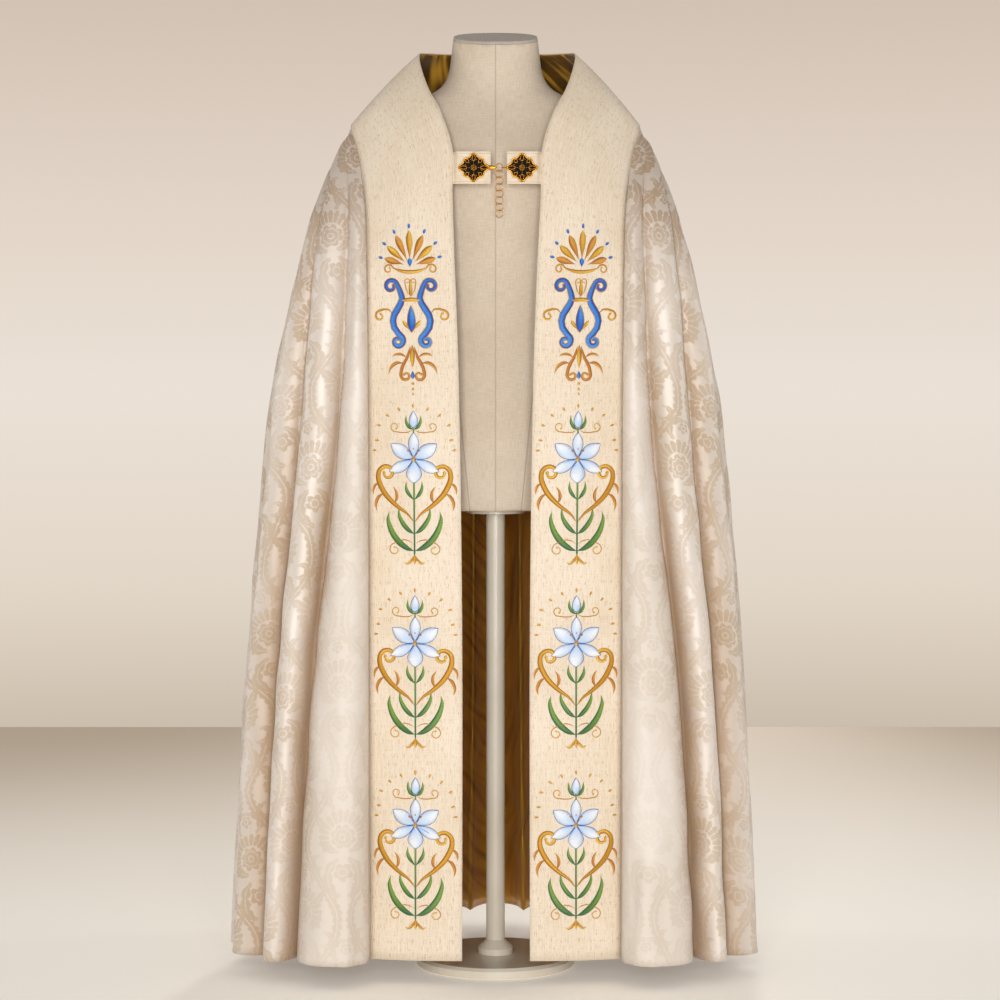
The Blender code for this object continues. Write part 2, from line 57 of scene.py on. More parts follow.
# Orphreys: two stiff bands of slub linen on buckram. Each runs up a front edge, over the
# shoulder and round the back of the neck, where it stands up as a collar, and is sewn to the
# damask along its outer edge.
ORPHREY = (
    # inner edge x, y, z          outer edge x, y, z
    ((0.0000, 0.0850, 1.5590), (0.0000, 0.1500, 1.4240)),
    ((0.0500, 0.0800, 1.5590), (0.0850, 0.1420, 1.4270)),
    ((0.0920, 0.0600, 1.5580), (0.1600, 0.1150, 1.4320)),
    ((0.1210, 0.0280, 1.5555), (0.2130, 0.0700, 1.4370)),
    ((0.1320, -0.0100, 1.5490), (0.2380, 0.0180, 1.4350)),
    ((0.1270, -0.0450, 1.5210), (0.2434, -0.0300, 1.4240)),
    ((0.1140, -0.0800, 1.4840), (0.2310, -0.0680, 1.3830)),
    ((0.0930, -0.1100, 1.4430), (0.2225, -0.0930, 1.3430)),
    ((0.0735, -0.1340, 1.3790), (0.2165, -0.1110, 1.3000)),
    ((0.0725, -0.1480, 1.3050), (0.2133, -0.1220, 1.2500)),
    ((0.0680, -0.1590, 1.1950), (0.2116, -0.1300, 1.1720)),
    ((0.0620, -0.1625, 1.0300), (0.2097, -0.1340, 1.0280)),
    ((0.0578, -0.1630, 0.8000), (0.2088, -0.1360, 0.8000)),
    ((0.0555, -0.1635, 0.5000), (0.2083, -0.1375, 0.5000)),
    ((0.0562, -0.1650, 0.0384), (0.2079, -0.1380, 0.0365)),
)
SHOULDER = 5  # row of the table at the top of the shoulder
HEM = len(ORPHREY) - 1
# Row of the table, and how far the inner edge is set back from the middle there.
OPENING_SHIFT = ((0, 0.0), (4, 0.003), (8, 0.003), (10, 0.0008), (HEM, 0.0008))
SHOULDER_Z = ORPHREY[SHOULDER][1][2]
HEM_Z = ORPHREY[-1][1][2]
BAND_BULGE = 0.006
BAND_ROWS = (70, 200)  # over the shoulder, and down the front
BAND_COLUMNS = 16
CLOTH = 0.002
SEAM_GAP = 0.0003
WEAVE_PITCH = 0.0011
SIDES = {"right": 1, "left": -1}


def through(rows, at):
    """Cubic curve through table rows at their indices, read at fractional index at."""
    rows = np.asarray(rows, float)
    at = np.clip(np.asarray(at, float), 0, len(rows) - 1)
    low = np.minimum(at.astype(int), len(rows) - 2)
    part = at - low
    slopes = np.gradient(rows, axis=0)
    part = part.reshape(part.shape + (1,) * (rows.ndim - 1))
    return (
        rows[low] * (2 * part**3 - 3 * part**2 + 1)
        + slopes[low] * (part**3 - 2 * part**2 + part)
        + rows[low + 1] * (3 * part**2 - 2 * part**3)
        + slopes[low + 1] * (part**3 - part**2)
    )


def unit(vectors):
    return vectors / np.linalg.norm(vectors, axis=-1, keepdims=True)


def runs(points):
    """Distance run along rows of points, from the first of each."""
    steps = np.linalg.norm(np.diff(points, axis=-2), axis=-1)
    return np.concatenate([np.zeros_like(steps[..., :1]), np.cumsum(steps, axis=-1)], axis=-1)


def band_lines(stations):
    """Inner and outer edge points of the band: stations positive on the right, negative left."""
    right = np.array(ORPHREY)
    whole = np.concatenate([right[:0:-1] * [-1, 1, 1], right])
    lines = through(whole, np.asarray(stations) + HEM)
    inner, outer = lines[..., 0, :], lines[..., 1, :]
    inner[..., 0] += np.interp(np.abs(stations), *zip(*OPENING_SHIFT))
    return inner, outer


def band_point(stations, shares, lift=0.0):
    """Points of the band, at share 0 on its inner edge and 1 on its outer, lifted off it."""
    stations = np.clip(stations, 0.02 - HEM, HEM - 0.02) if np.any(lift) else stations
    inner, outer = band_lines(stations)
    chord = outer - inner
    ahead = sum(band_lines(stations + 0.01))
    behind = sum(band_lines(stations - 0.01))
    out = unit(np.cross(ahead - behind, chord))
    shares = np.asarray(shares)[..., None]
    bulge = BAND_BULGE * 4 * shares * (1 - shares) + np.asarray(lift)[..., None]
    return inner + chord * shares + out * bulge


def make_grid(mesh, rows, columns):
    """Adds a grid of faces to a mesh. Returns its points, each with its row and column."""
    made = bmesh.ops.create_grid(mesh, x_segments=columns - 1, y_segments=rows - 1, size=1)
    spots = {}
    for vert in made["verts"]:
        row = round((vert.co.y + 1) / 2 * (rows - 1))
        spots[vert] = (row, round((vert.co.x + 1) / 2 * (columns - 1)))
    return spots


def make_piece(name, mesh, *finishes):
    """Turns a mesh into a smooth object that wears the finishes."""
    for face in mesh.faces:
        face.smooth = True
    data = bpy.data.meshes.new(name)
    mesh.to_mesh(data)
    mesh.free()
    made = bpy.data.objects.new(name, data)
    link(made)
    for finish in finishes:
        data.materials.append(finish)
    return made


def thicken(piece, depth):
    """Gives a sheet its thickness, inwards."""
    thickness = piece.modifiers.new("thickness", "SOLIDIFY")
    thickness.thickness = depth
    thickness.offset = -1
    return thickness


def shell(name, grid, flat, finishes, depth=CLOTH, painted_light=None):
    """A sheet of cloth through a grid of points, with the second finish, if any, on its back.

    flat holds each point's place on the cut cloth in metres. It becomes the piece's UV map.
    Each point also takes painted light and shade for the finish to read: 0 in the hollow of
    its fold, 1 at its top, and more on a flat panel.
    """
    mesh = bmesh.new()
    cut = mesh.loops.layers.uv.new("cut")
    painted_light_layer = mesh.verts.layers.float.new("painted_light")
    spots = make_grid(mesh, *grid.shape[:2])
    for vert, spot in spots.items():
        vert.co = grid[spot]
        vert[painted_light_layer] = 1.0 if painted_light is None else painted_light[spot]
    for face in mesh.faces:
        for loop in face.loops:
            loop[cut].uv = flat[spots[loop.vert]]
    made = make_piece(name, mesh, *finishes)
    thicken(made, depth).material_offset = 1
    return made


class Socket:
    """The output of a node. Arithmetic on sockets adds the Math nodes for it."""

    def __init__(self, tree, output=None):
        self.tree = tree
        self.output = output

    def node(self, kind, settings=(), inputs=(), output=0):
        """A node of any kind: its settings, then the values or sockets of its inputs."""
        made = self.tree.nodes.new(kind)
        for name, value in dict(settings).items():
            setattr(made, name, value)
        for name, value in dict(inputs).items():
            if isinstance(value, Socket):
                self.tree.links.new(value.output, made.inputs[name])
            else:
                made.inputs[name].default_value = value
        return Socket(self.tree, made.outputs[output])

    def maths(self, operation, *values):
        return self.node("ShaderNodeMath", {"operation": operation}, enumerate(values))

    def __add__(self, other):
        return self.maths("ADD", self, other)

    def __sub__(self, other):
        return self.maths("SUBTRACT", self, other)

    def __rsub__(self, other):
        return self.maths("SUBTRACT", other, self)

    def __mul__(self, other):
        return self.maths("MULTIPLY", self, other)

    def __truediv__(self, other):
        return self.maths("DIVIDE", self, other)

    def __pow__(self, other):
        return self.maths("POWER", self, other)

    def __mod__(self, other):
        return self.maths("FLOORED_MODULO", self, other)

    def __abs__(self):
        return self.maths("ABSOLUTE", self)

    __radd__ = __add__
    __rmul__ = __mul__

    def sine(self):
        return self.maths("SINE", self)

    def cosine(self):
        return self.maths("COSINE", self)

    def greater(self, other):
        return self.maths("MAXIMUM", self, other)

    def step(self, low, high):
        """0 below low and 1 above high, smooth between."""
        settings = {"interpolation_type": "SMOOTHSTEP"}
        return self.node("ShaderNodeMapRange", settings, {0: self, 1: low, 2: high})

    def split(self):
        """The x, y and z of a vector."""
        made = self.node("ShaderNodeSeparateXYZ", (), {0: self}).output.node
        return [Socket(self.tree, output) for output in made.outputs]

    def vector(self, x, y, z=0.0):
        return self.node("ShaderNodeCombineXYZ", (), {0: x, 1: y, 2: z})

    def noise(self, place, scale, detail=2.0, output=0):
        inputs = {"Vector": place, "Scale": scale, "Detail": detail}
        return self.node("ShaderNodeTexNoise", (), inputs, output)

    def mix(self, share, first, second):
        """A colour between two colours."""
        inputs = {0: share}
        for slot, colour in ((6, first), (7, second)):
            inputs[slot] = colour if isinstance(colour, Socket) else (*colour, 1)
        return self.node("ShaderNodeMix", {"data_type": "RGBA"}, inputs, 2)

    def bump(self, height, distance, strength=1.0):
        inputs = {"Height": height, "Distance": distance, "Strength": strength}
        return self.node("ShaderNodeBump", (), inputs)

    def object_place(self):
        """Where a point of the object is, in metres."""
        return self.node("ShaderNodeTexCoord", (), (), 3)

    def map_place(self, name):
        """Across and along one of the object's UV maps."""
        return self.node("ShaderNodeUVMap", {"uv_map": name}).split()[:2]


def srgb(*values):
    """Linear colour from a colour chart's 0 to 255 values."""
    return tuple((value / 255 / 12.92) if value < 10 else ((value / 255 + 0.055) / 1.055) ** 2.4
                 for value in values)


def new_finish(name, **constants):
    """A material. Returns it, its Principled shader and a socket to start sums from."""
    made = bpy.data.materials.new(name)
    made.use_nodes = True
    shader = made.node_tree.nodes["Principled BSDF"]
    for key, value in constants.items():
        shader.inputs[key.replace("_", " ")].default_value = value
    return made, shader, Socket(made.node_tree)


def wire_up(shader, start, **outputs):
    for key, value in outputs.items():
        start.tree.links.new(value.output, shader.inputs[key.replace("_", " ")])


def grain(across, along, across_scale, along_scale, detail=1.0):
    """Noise drawn out along a cloth: how often it changes to a metre, across and along."""
    return across.noise(across.vector(across * across_scale, along * along_scale), 1.0, detail)


def weave_of(across, along):
    """A plain weave's height, 0 to 1."""
    turns = 2 * math.pi / WEAVE_PITCH
    return (across * turns).sine() * (along * turns).sine() * 0.5 + 0.5


def linen_finish(name, light, dark, fleck, fleck_share):
    """Cream slub linen: uneven threads, with short golden-brown flecks along the warp."""
    made, shader, start = new_finish(name, Roughness=0.85, Sheen_Weight=0.15, Sheen_Roughness=0.5)
    across, along = start.map_place("cut")
    streaks = grain(across, along, 520, 24, 2.0)
    slubs = grain(across, along, 34, 620)
    dashes = grain(across, along, 640, 84)
    grains = grain(across, along, 900, 420, 0.0)
    cloudy = grain(across, along, 9, 6)
    tone = streaks * 0.45 + slubs * 0.2 + cloudy * 0.35
    colour = start.mix(tone.step(0.36, 0.64), dark, light)
    flecks = dashes.step(fleck_share, fleck_share + 0.09) * grains.step(0.40, 0.58)
    colour = start.mix(flecks * 0.60, colour, fleck)
    height = weave_of(across, along) * 0.5 + streaks * 0.6 + slubs * 0.4 + dashes * 0.6
    wire_up(shader, start, Base_Color=colour, Normal=start.bump(height, 0.0005, 0.5))
    return made


def satin_finish(name, dull, bright, highlight_spread):
    """Dark gold lining satin: fine warp ribs, and soft drapes aslant as painted highlights and shade."""
    made, shader, start = new_finish(name, Metallic=0.35, Sheen_Weight=0.2)
    across, along = start.map_place("cut")
    ribs = grain(across, along, 900, 14)
    drapes = start.noise(start.vector(along * 42 + across * 26, across * 7), 1.0, 1.0)
    # Painted highlight on the drapes, from the dull colour in their shade to the bright one.
    shine = drapes.step(0.66 - highlight_spread, 0.66) * 0.8 + ribs * 0.2
    colour = start.mix(shine, dull, bright)
    wire_up(shader, start, Base_Color=colour, Roughness=ribs * 0.12 + 0.28,
            Normal=start.bump(ribs * 0.05 + drapes, 0.004, 0.2))
    return made


ORPHREY_LINEN = linen_finish("slub_linen", light=srgb(242, 228, 208), dark=srgb(229, 211, 186),
                             fleck=srgb(182, 144, 92), fleck_share=0.578)
GOLD_SATIN = satin_finish("gold_satin", srgb(112, 72, 12), srgb(206, 150, 46), highlight_spread=0.60)

seam_stations = np.concatenate([
    np.linspace(0, SHOULDER, BAND_ROWS[0])[:-1],
    np.linspace(SHOULDER, HEM, BAND_ROWS[1]),
])
band_shares = np.linspace(0, 1, BAND_COLUMNS + 1)
for side, sign in SIDES.items():
    stations = sign * seam_stations
    grid = band_point(stations[:, None], np.tile(band_shares, (len(stations), 1)))
    grid[0, :, 0] = sign * SEAM_GAP / 2
    inner, outer = band_lines(stations)
    along = -runs((inner + outer) / 2)
    widths = np.linalg.norm(outer - inner, axis=-1)
    across = (band_shares - 0.5) * widths[:, None]
    flat = np.stack(np.broadcast_arrays(across, along[:, None]), axis=-1)
    if sign < 0:
        grid, flat = grid[:, ::-1], flat[:, ::-1]
    orphrey = shell("orphrey_cloth_" + side, grid[::-1], flat[::-1], (ORPHREY_LINEN, GOLD_SATIN))
    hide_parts("orphrey_" + side)
    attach(orphrey, "root")


# Embroidery: silk and gold thread worked through each orphrey before it was made up, padded
# a little so that it stands up. A crest is at the top, and one flower is repeated below it.
CREST_Z = 1.1140
FLOWER_HEIGHTS = (0.826, 0.522, 0.220)
WORK_SINK = 0.00020  # how far the edge of a worked shape lies in the linen
WORK_HEIGHT = (0.0006, 0.0009, 0.0011, 0.0013, 0.0015)  # of each layer
WORK_DEPTH = 0.0004
WIDER_LOWER = 0.0003  # how much lower an outline lies than the stroke on it
STROKE_MAPS = ("cut", "stroke")  # UV maps in metres, and in shares of the stroke
STROKE_ACROSS = 4
STROKE_STEP = 0.0035
STROKE_ROWS = (6, 46)  # least and most
FULL_WIDTH = 0.0030  # half width from which a stroke has its full height
STITCH_PITCH = 0.0009
MILLIMETRE = 0.001


def volute(x, y, start, turns, outer, inner, thick, thin):
    """A scroll about a point, as points with half widths. Start and turns are in degrees."""
    points = []
    count = max(5, round(abs(turns) / 36))
    for step in range(count + 1):
        share = step / count
        angle = math.radians(start + turns * share)
        reach = outer + (inner - outer) * share**0.8
        half_width = thick + (thin - thick) * share
        points.append((x + reach * math.cos(angle), y + reach * math.sin(angle), half_width))
    return points


def knob(size, *scroll):
    """A scroll with a round end of the size given."""
    points = volute(*scroll)
    end, before = np.array(points[-1][:2]), np.array(points[-2][:2])
    ahead = unit(end - before) * size
    return points + [(*(end + ahead * 0.7), size), (*(end + ahead * 1.9), 0.1)]


def leaf(width, *points):
    """A leaf along a line of points, widest near its middle."""
    last = len(points) - 1
    made = []
    for step, (x, y) in enumerate(points):
        fullness = max(math.sin(math.pi * (step / last) ** 0.85), 0.0)
        made.append((x, y, width * fullness**0.8))
    return made


def blade(angle, begin, length, width, x=0.0, y=0.0, bend=0.0, belly=0.62):
    """A petal that points along an angle in degrees from a spot, and is bent to one side."""
    points = []
    for step in range(9):
        share = step / 8
        turn = math.radians(angle + bend * share)
        reach = begin + length * share
        fullness = max(math.sin(math.pi * share ** (math.log(0.5) / math.log(belly))), 0.0)
        half_width = width * fullness**0.8
        points.append((x + reach * math.cos(turn), y + reach * math.sin(turn), half_width))
    return points


def crest():
    """Strokes of the top ornament: thread, layer, mirrored or not, and points in millimetres."""
    strokes = []
    for angle, length in ((90, 50), (66, 47), (42, 42), (18, 36)):
        thread = "gold" if angle in (90, 42) else "ochre"
        mirrored = angle != 90
        strokes += [
            (thread, 0, mirrored, blade(angle, 10, length, 5.6, y=72, belly=0.66)),
            ("blue", 1, mirrored, blade(angle, 12 + length, 9, 2.4, y=72, belly=0.5)),
            ("gold", 2, mirrored, blade(angle, 16, length - 14, 0.8, y=72, belly=0.66)),
        ]
    lyre_top = volute(33, 40, -230, 400, 3.5, 11.0, 1.8, 3.6)
    lyre_foot = volute(24, -51, 137, 380, 10.5, 3.5, 4.4, 2.2)
    lyre_side = [(17, 29, 4.2), (15, 17, 4.6), (23, 2, 5.0), (31, -13, 5.0), (28, -31, 4.8)]
    lyre = lyre_top + lyre_side + lyre_foot
    lyre_tie = [(-20, 15, 0.4), (-10, 17, 2.6), (0, 18, 3.2), (10, 17, 2.6), (20, 15, 0.4)]
    cup = [(-31, 71, 0.6), (-16, 65, 2.4), (0, 63, 3.0), (16, 65, 2.4), (31, 71, 0.6)]
    bud = blade(90, -36, 44, 6.4, belly=0.42)
    heart = [(2, 24, 0.7), (7, 34, 0.9), (9, 44, 0.9)]
    heart += knob(1.4, 4.5, 48, -15, 290, 5.0, 2.4, 0.9, 0.9)
    side_scroll = [(31, -6, 0.8), (40, 3, 1.6), (50, 1, 1.9)]
    side_scroll += knob(2.4, 53, -9, 100, -330, 10.0, 3.5, 2.0, 1.5)
    foot_scroll = [(3, -58, 1.2), (8, -76, 2.4), (16, -90, 2.9)]
    foot_scroll += knob(2.6, 11, -107, 25, -330, 9.5, 3.5, 2.8, 1.8)
    strokes += [
        ("gold", 2, False, cup),
        ("gold", 1, True, [(26, 69, 1.4)] + knob(2.0, 37, 68, 130, -340, 8.5, 3.5, 1.5, 1.2)),
        ("blue", 2, False, blade(90, -6, 15, 4.2, y=77)),
        ("edge", 1, True, lyre),
        ("blue", 2, True, lyre),
        ("gold", 3, False, lyre_tie),
        ("edge", 1, False, bud),
        ("blue", 2, False, bud),
        ("gold", 0, False, blade(52, 5, 20, 3.0, y=-36, belly=0.6)),
        ("gold", 0, False, blade(128, 5, 20, 3.0, y=-36, belly=0.6)),
        ("gold", 0, False, blade(90, 22, 30, 3.2, belly=0.35)),
        ("gold", 0, True, heart),
        ("gold", 0, True, side_scroll),
        ("ochre", 0, True, foot_scroll),
        ("ochre", 0, True, leaf(2.8, (14, -87), (26, -86), (36, -93), (41, -105))),
        ("ochre", 0, True, leaf(2.2, (9, -78), (18, -72), (28, -72), (34, -76))),
        ("gold", 1, False, blade(270, 56, 38, 4.2, belly=0.5)),
        ("blue", 1, False, blade(270, 99, 14, 3.4, belly=0.6)),
    ]
    for low, width in ((117, 2.4), (126, 2.0), (134, 1.6)):
        strokes.append(("gold", 0, False, blade(270, low, 6, width)))
    return strokes


def flower():
    """Strokes of the flower: a six-petalled blossom and a bud on one stem, with gold scrolls."""
    middle_y = 44
    tendril = [(1, -96, 0.7), (15, -89, 0.9), (28, -93, 0.9)]
    tendril += knob(1.7, 33, -106, 75, -340, 10.5, 4.0, 0.9, 0.9)
    scroll = [(1, -60, 0.8), (12, -46, 2.0), (30, -33, 3.4), (48, -15, 4.4), (59, 6, 4.4)]
    scroll += knob(2.9, 45, 20, 0, 350, 15.0, 5.0, 4.0, 1.9)
    bud_scroll = [(1, 92, 0.7), (12, 87, 0.9), (24, 88, 0.9)]
    bud_scroll += knob(1.6, 31, 97, 250, 330, 9.0, 3.5, 0.9, 0.9)
    bud = blade(90, 95, 27, 6.8, belly=0.4)
    long_leaf = leaf(5.2, (0, -108), (13, -103), (27, -92), (38, -76), (44, -57), (42, -42))
    strokes = [
        ("gold", 0, True, leaf(2.2, (0, -114), (5, -123), (12, -129), (18, -126))),
        ("gold", 0, False, leaf(3.2, (0, -112), (0, -122), (0, -131))),
        ("green", 0, True, long_leaf),
        ("green", 0, True, leaf(3.9, (0, -80), (9, -74), (18, -64), (25, -50), (26, -34))),
        ("gold", 0, True, tendril),
        ("gold", 1, True, scroll),
        ("ochre", 0, True, leaf(2.8, (50, -12), (60, -19), (65, -31), (63, -43))),
        ("ochre", 0, True, leaf(2.6, (34, -31), (29, -21), (30, -10), (36, -1))),
        ("ochre", 0, True, leaf(2.2, (58, 4), (65, 1), (69, -7), (69, -16))),
        ("stem", 1, False, [(0, -116, 1.4), (0, -60, 1.5), (0, 0, 1.6), (0, 20, 1.6)]),
        ("green", 0, True, leaf(3.0, (0, -24), (8, -15), (13, -5), (13, 8))),
    ]
    petals = (
        # layer, angle, begin, length, width, bend, belly
        (1, 90, 3, 40, 8.4, 0, 0.55),
        (1, 213, 3, 43, 8.4, -6, 0.55),
        (1, 327, 3, 43, 8.4, 6, 0.55),
        (2, 28, 2, 43, 10.8, 5, 0.52),
        (2, 152, 2, 43, 10.8, -5, 0.52),
        (2, 270, 2, 38, 12.4, 0, 0.60),
    )
    for layer, angle, begin, length, width, bend, belly in petals:
        petal = blade(angle, begin, length, width, 0, middle_y, bend, belly)
        strokes += [("rim", layer, False, petal), ("white", layer + 1, False, petal)]
    for angle in range(30, 390, 60):
        strokes.append(("vein", 4, False, blade(angle, 6, 23, 0.9, y=middle_y)))
    for angle in (90, 54, 126):
        strokes.append(("gold", 4, False, blade(angle, 2, 13, 0.9, y=middle_y)))
        strokes.append(("ochre", 4, False, blade(angle, 13, 6, 1.9, y=middle_y)))
    strokes += [
        ("gold", 4, False, blade(270, -4, 9, 3.8, y=middle_y)),
        ("stem", 1, False, [(0, 84, 1.2), (0, 98, 1.2)]),
        ("rim", 1, False, bud),
        ("white", 2, False, bud),
        ("green", 2, True, leaf(2.8, (0, 92), (7, 96), (12, 105), (12, 116))),
        ("gold", 0, True, bud_scroll),
    ]
    for x, y, angle in ((22, 122, 62), (40, 113, 38), (54, 98, 16), (62, 58, 0), (58, 74, 10)):
        strokes.append(("gold", 0, True, blade(angle, 0, 8, 2.0, x, y)))
    strokes.append(("gold", 0, False, blade(90, 0, 8, 2.0, y=127)))
    return strokes


THREADS = {
    # silk it is worked in, and how much wider than its stroke in mm
    "gold": ("gold", 0.0),
    "edge": ("gold", 1.0),
    "ochre": ("ochre", 0.0),
    "green": ("green", 0.0),
    "stem": ("green", 0.0),
    "blue": ("blue", 0.0),
    "rim": ("blue", 0.9),
    "vein": ("pale", 0.0),
    "white": ("white", 0.0),
}
line_stations = np.linspace(SHOULDER + 1, HEM, 1500)
line_inner, line_outer = band_lines(line_stations)
line_middle = (line_inner + line_outer) / 2
line_run = runs(line_middle)
line_width = np.linalg.norm(line_outer - line_inner, axis=1)
line_slope = (line_outer - line_inner)[:, 2] / line_width


def on_band(sign, middle_z, x, y, lift):
    """Points of an orphrey's face, x across and y up from its middle at a height, kept upright."""
    middle = np.interp(-middle_z, -line_middle[:, 2], line_run)
    outwards = sign * x
    run = middle - y
    run = run + outwards * np.interp(run, line_run, line_slope)
    station = np.interp(run, line_run, line_stations)
    share = 0.5 + outwards / np.interp(station, line_stations, line_width)
    return band_point(sign * station, share, lift)


def work_stroke(mesh, sign, middle_z, points, wider, layer):
    """Adds one padded stroke of stitching to a mesh, a shallow pillow on the linen."""
    stroke = np.array(points, float) * MILLIMETRE
    rows = int(np.clip(runs(stroke[:, :2])[-1] / STROKE_STEP, *STROKE_ROWS))
    line = through(stroke, np.linspace(0, len(points) - 1, rows + 1))
    ways = unit(np.gradient(line[:, :2], axis=0))
    if wider:
        line[[0, -1], :2] += ways[[0, -1]] * [[-wider], [wider]]
    half = np.maximum(line[:, 2], 0.0) + wider
    half[[0, -1]] = np.minimum(half[[0, -1]], max(0.3 * wider, 0.00005))
    shares = np.linspace(-1, 1, STROKE_ACROSS + 1)
    flat_x = line[:, :1] - ways[:, 1:] * half[:, None] * shares
    flat_y = line[:, 1:2] + ways[:, :1] * half[:, None] * shares
    fullness = np.minimum(half / FULL_WIDTH, 1.0)[:, None] ** 0.5 * (1 - shares**2) ** 0.6
    height = WORK_HEIGHT[layer] - (WIDER_LOWER if wider else 0)
    lift = height * (0.35 + 0.65 * fullness) - WORK_SINK * (np.abs(shares) > 0.99)
    worked = on_band(sign, middle_z, flat_x, flat_y, lift)
    run = runs(line[:, :2])
    cut, along_stroke = [mesh.loops.layers.uv[name] for name in STROKE_MAPS]
    for vert, (row, column) in make_grid(mesh, rows + 1, STROKE_ACROSS + 1).items():
        vert.co = worked[row, column]
        for loop in vert.link_loops:
            loop[cut].uv = (shares[column] * half[row], run[row])
            loop[along_stroke].uv = (shares[column] * 0.5 + 0.5, row / rows)


def thread_finish(name, base, tip, shade, sheen=0.3, metallic=0.0):
    """Satin stitch: close threads across the stroke, shaded from its base and one edge."""
    made, shader, start = new_finish(name, Metallic=metallic, Sheen_Weight=sheen,
                                     Sheen_Roughness=0.3)
    across, along = start.map_place("cut")
    side, up = start.map_place("stroke")
    strands = grain(across, along, 240, 1900)
    ragged = grain(across, along, 90, 900)
    colour = start.mix((up + (ragged - 0.5) * 0.5).step(0.10, 0.75), base, tip)
    colour = start.mix((side + (ragged - 0.5) * 0.4).step(0.50, 0.85) * 0.85, colour, shade)
    colour = start.mix(strands.step(0.35, 0.50) * 0.5 + 0.5, shade, colour)
    stitches = (along * (2 * math.pi / STITCH_PITCH) + strands * 5).sine()
    height = stitches * 0.5 + strands
    wire_up(shader, start, Base_Color=colour, Roughness=strands * 0.25 + 0.30,
            Normal=start.bump(height, 0.00025, 0.6))
    return made


SILKS = {
    # name, then the colour at a stroke's base, its tip and its shaded edge
    "gold": ("gold_thread", (206, 148, 34), (236, 190, 76), (176, 116, 22), 0.2, 0.35),
    "ochre": ("ochre_silk", (196, 124, 30), (222, 156, 54), (158, 92, 18)),
    "green": ("green_silk", (58, 112, 52), (126, 164, 52), (34, 92, 62)),
    "blue": ("blue_silk", (24, 96, 200), (74, 148, 230), (14, 70, 168)),
    "pale": ("pale_blue_silk", (96, 156, 226), (150, 196, 240), (90, 150, 222)),
    "white": ("white_silk", (182, 212, 246), (242, 245, 251), (208, 225, 248)),
}
motifs = [(CREST_Z, crest())] + [(height, flower()) for height in FLOWER_HEIGHTS]
for silk, (name, base, tip, shade, *shine) in SILKS.items():
    mesh = bmesh.new()
    for map_name in STROKE_MAPS:
        mesh.loops.layers.uv.new(map_name)
    for middle_z, strokes in motifs:
        for kind, layer, mirrored, points in strokes:
            owner, wider = THREADS[kind]
            if owner != silk:
                continue
            for sign in SIDES.values():
                for mirror in (1, -1) if mirrored else (1,):
                    spots = np.array(points) * [mirror, 1, 1]
                    work_stroke(mesh, sign, middle_z, spots, wider * MILLIMETRE, layer)
    for face in mesh.faces:
        if face.normal.y > 0:
            face.normal_flip()
    finish = thread_finish(name, srgb(*base), srgb(*tip), srgb(*shade), *shine)
    work = make_piece("embroidery_" + silk, mesh, finish)
    thicken(work, WORK_DEPTH)
    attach(work, "root")


# Body of the cope: half round of ivory silk damask, interlined. It is gathered a little into
# the shoulder seam, and falls in soft folds that grow towards the hem.
SECTIONS = (
    # z, half width, y of the widest point, y at the middle of the back
    (1.424, 0.2434, -0.030, 0.150),
    (1.397, 0.2560, -0.028, 0.158),
    (1.349, 0.2740, -0.024, 0.168),
    (1.270, 0.2970, -0.018, 0.178),
    (1.139, 0.3275, -0.010, 0.192),
    (0.978, 0.3545, -0.004, 0.210),
    (0.661, 0.3765, 0.000, 0.244),
    (0.364, 0.3880, 0.002, 0.270),
    (0.036, 0.3960, 0.004, 0.295),
)
FRONT_SQUARENESS = 0.65  # powers, below 1 for a plan squarer than an oval
BACK_SQUARENESS = 0.85
FOLDS = (
    # share at shoulder, one third down, two thirds down, hem, left nudge,
    # depth right, depth left, lean, start height
    (0.050, 0.066, 0.122, 0.148, 0.000, 0.066, 0.068, 0.80, 1.34),
    (0.165, 0.164, 0.198, 0.203, 0.000, 0.054, 0.055, 1.00, 1.42),
    (0.262, 0.262, 0.284, 0.290, 0.000, 0.056, 0.057, 1.00, 1.42),
    (0.385, 0.390, 0.395, 0.392, -0.006, 0.054, 0.058, 1.10, 1.38),
    (0.455, 0.450, 0.462, 0.468, 0.008, 0.046, 0.042, 1.00, 1.31),
    (0.575, 0.570, 0.578, 0.585, -0.010, 0.062, 0.058, 0.90, 1.37),
    (0.650, 0.655, 0.660, 0.662, 0.004, 0.044, 0.050, 1.00, 1.28),
    (0.765, 0.760, 0.758, 0.765, 0.010, 0.058, 0.054, 1.10, 1.36),
    (0.850, 0.855, 0.852, 0.850, -0.008, 0.048, 0.056, 1.00, 1.30),
    (0.945, 0.940, 0.942, 0.938, 0.006, 0.054, 0.048, 0.95, 1.34),
    (1.055, 1.060, 1.058, 1.062, 0.000, 0.060, 0.060, 1.00, 1.37),
)
FOLD_GROWTH = 0.62  # power at which the folds deepen towards the hem
FOLD_SPREAD = 0.05
FOLD_NICK = 0.010  # how much deeper the line between two folds is pressed
PAINTED_LIGHT_LEAN = 1.4  # moves the palest line of a fold's painted light away from the front
PANEL_FLATNESS = 0.64  # of the first fold, which hangs as a flat panel
PANEL_SHADE = 0.25  # share of the panel that turns under at its outer edge, in painted shade
PANEL_PALE = 1.5  # its painted light value, which also calms the figure there
SHOULDER_SHADE = (1.08, 1.34)  # heights between which painted shade darkens the damask, its figure most, towards the shoulder
BODY_COLUMNS = 14  # to a fold
BODY_ROWS = 118
ROW_CROWDING = 1.25  # power that sets the rows closer together at the shoulder
SEAM_SETTLES = 0.020  # how far below the shoulder the cloth leaves the line of its neck seam
UNEVEN = (0.0009, 0.0008)  # heights of two slight waves that cross all over the cloth
HALF_ROUND = 0.18  # from the middle of the half round to the shoulder seam
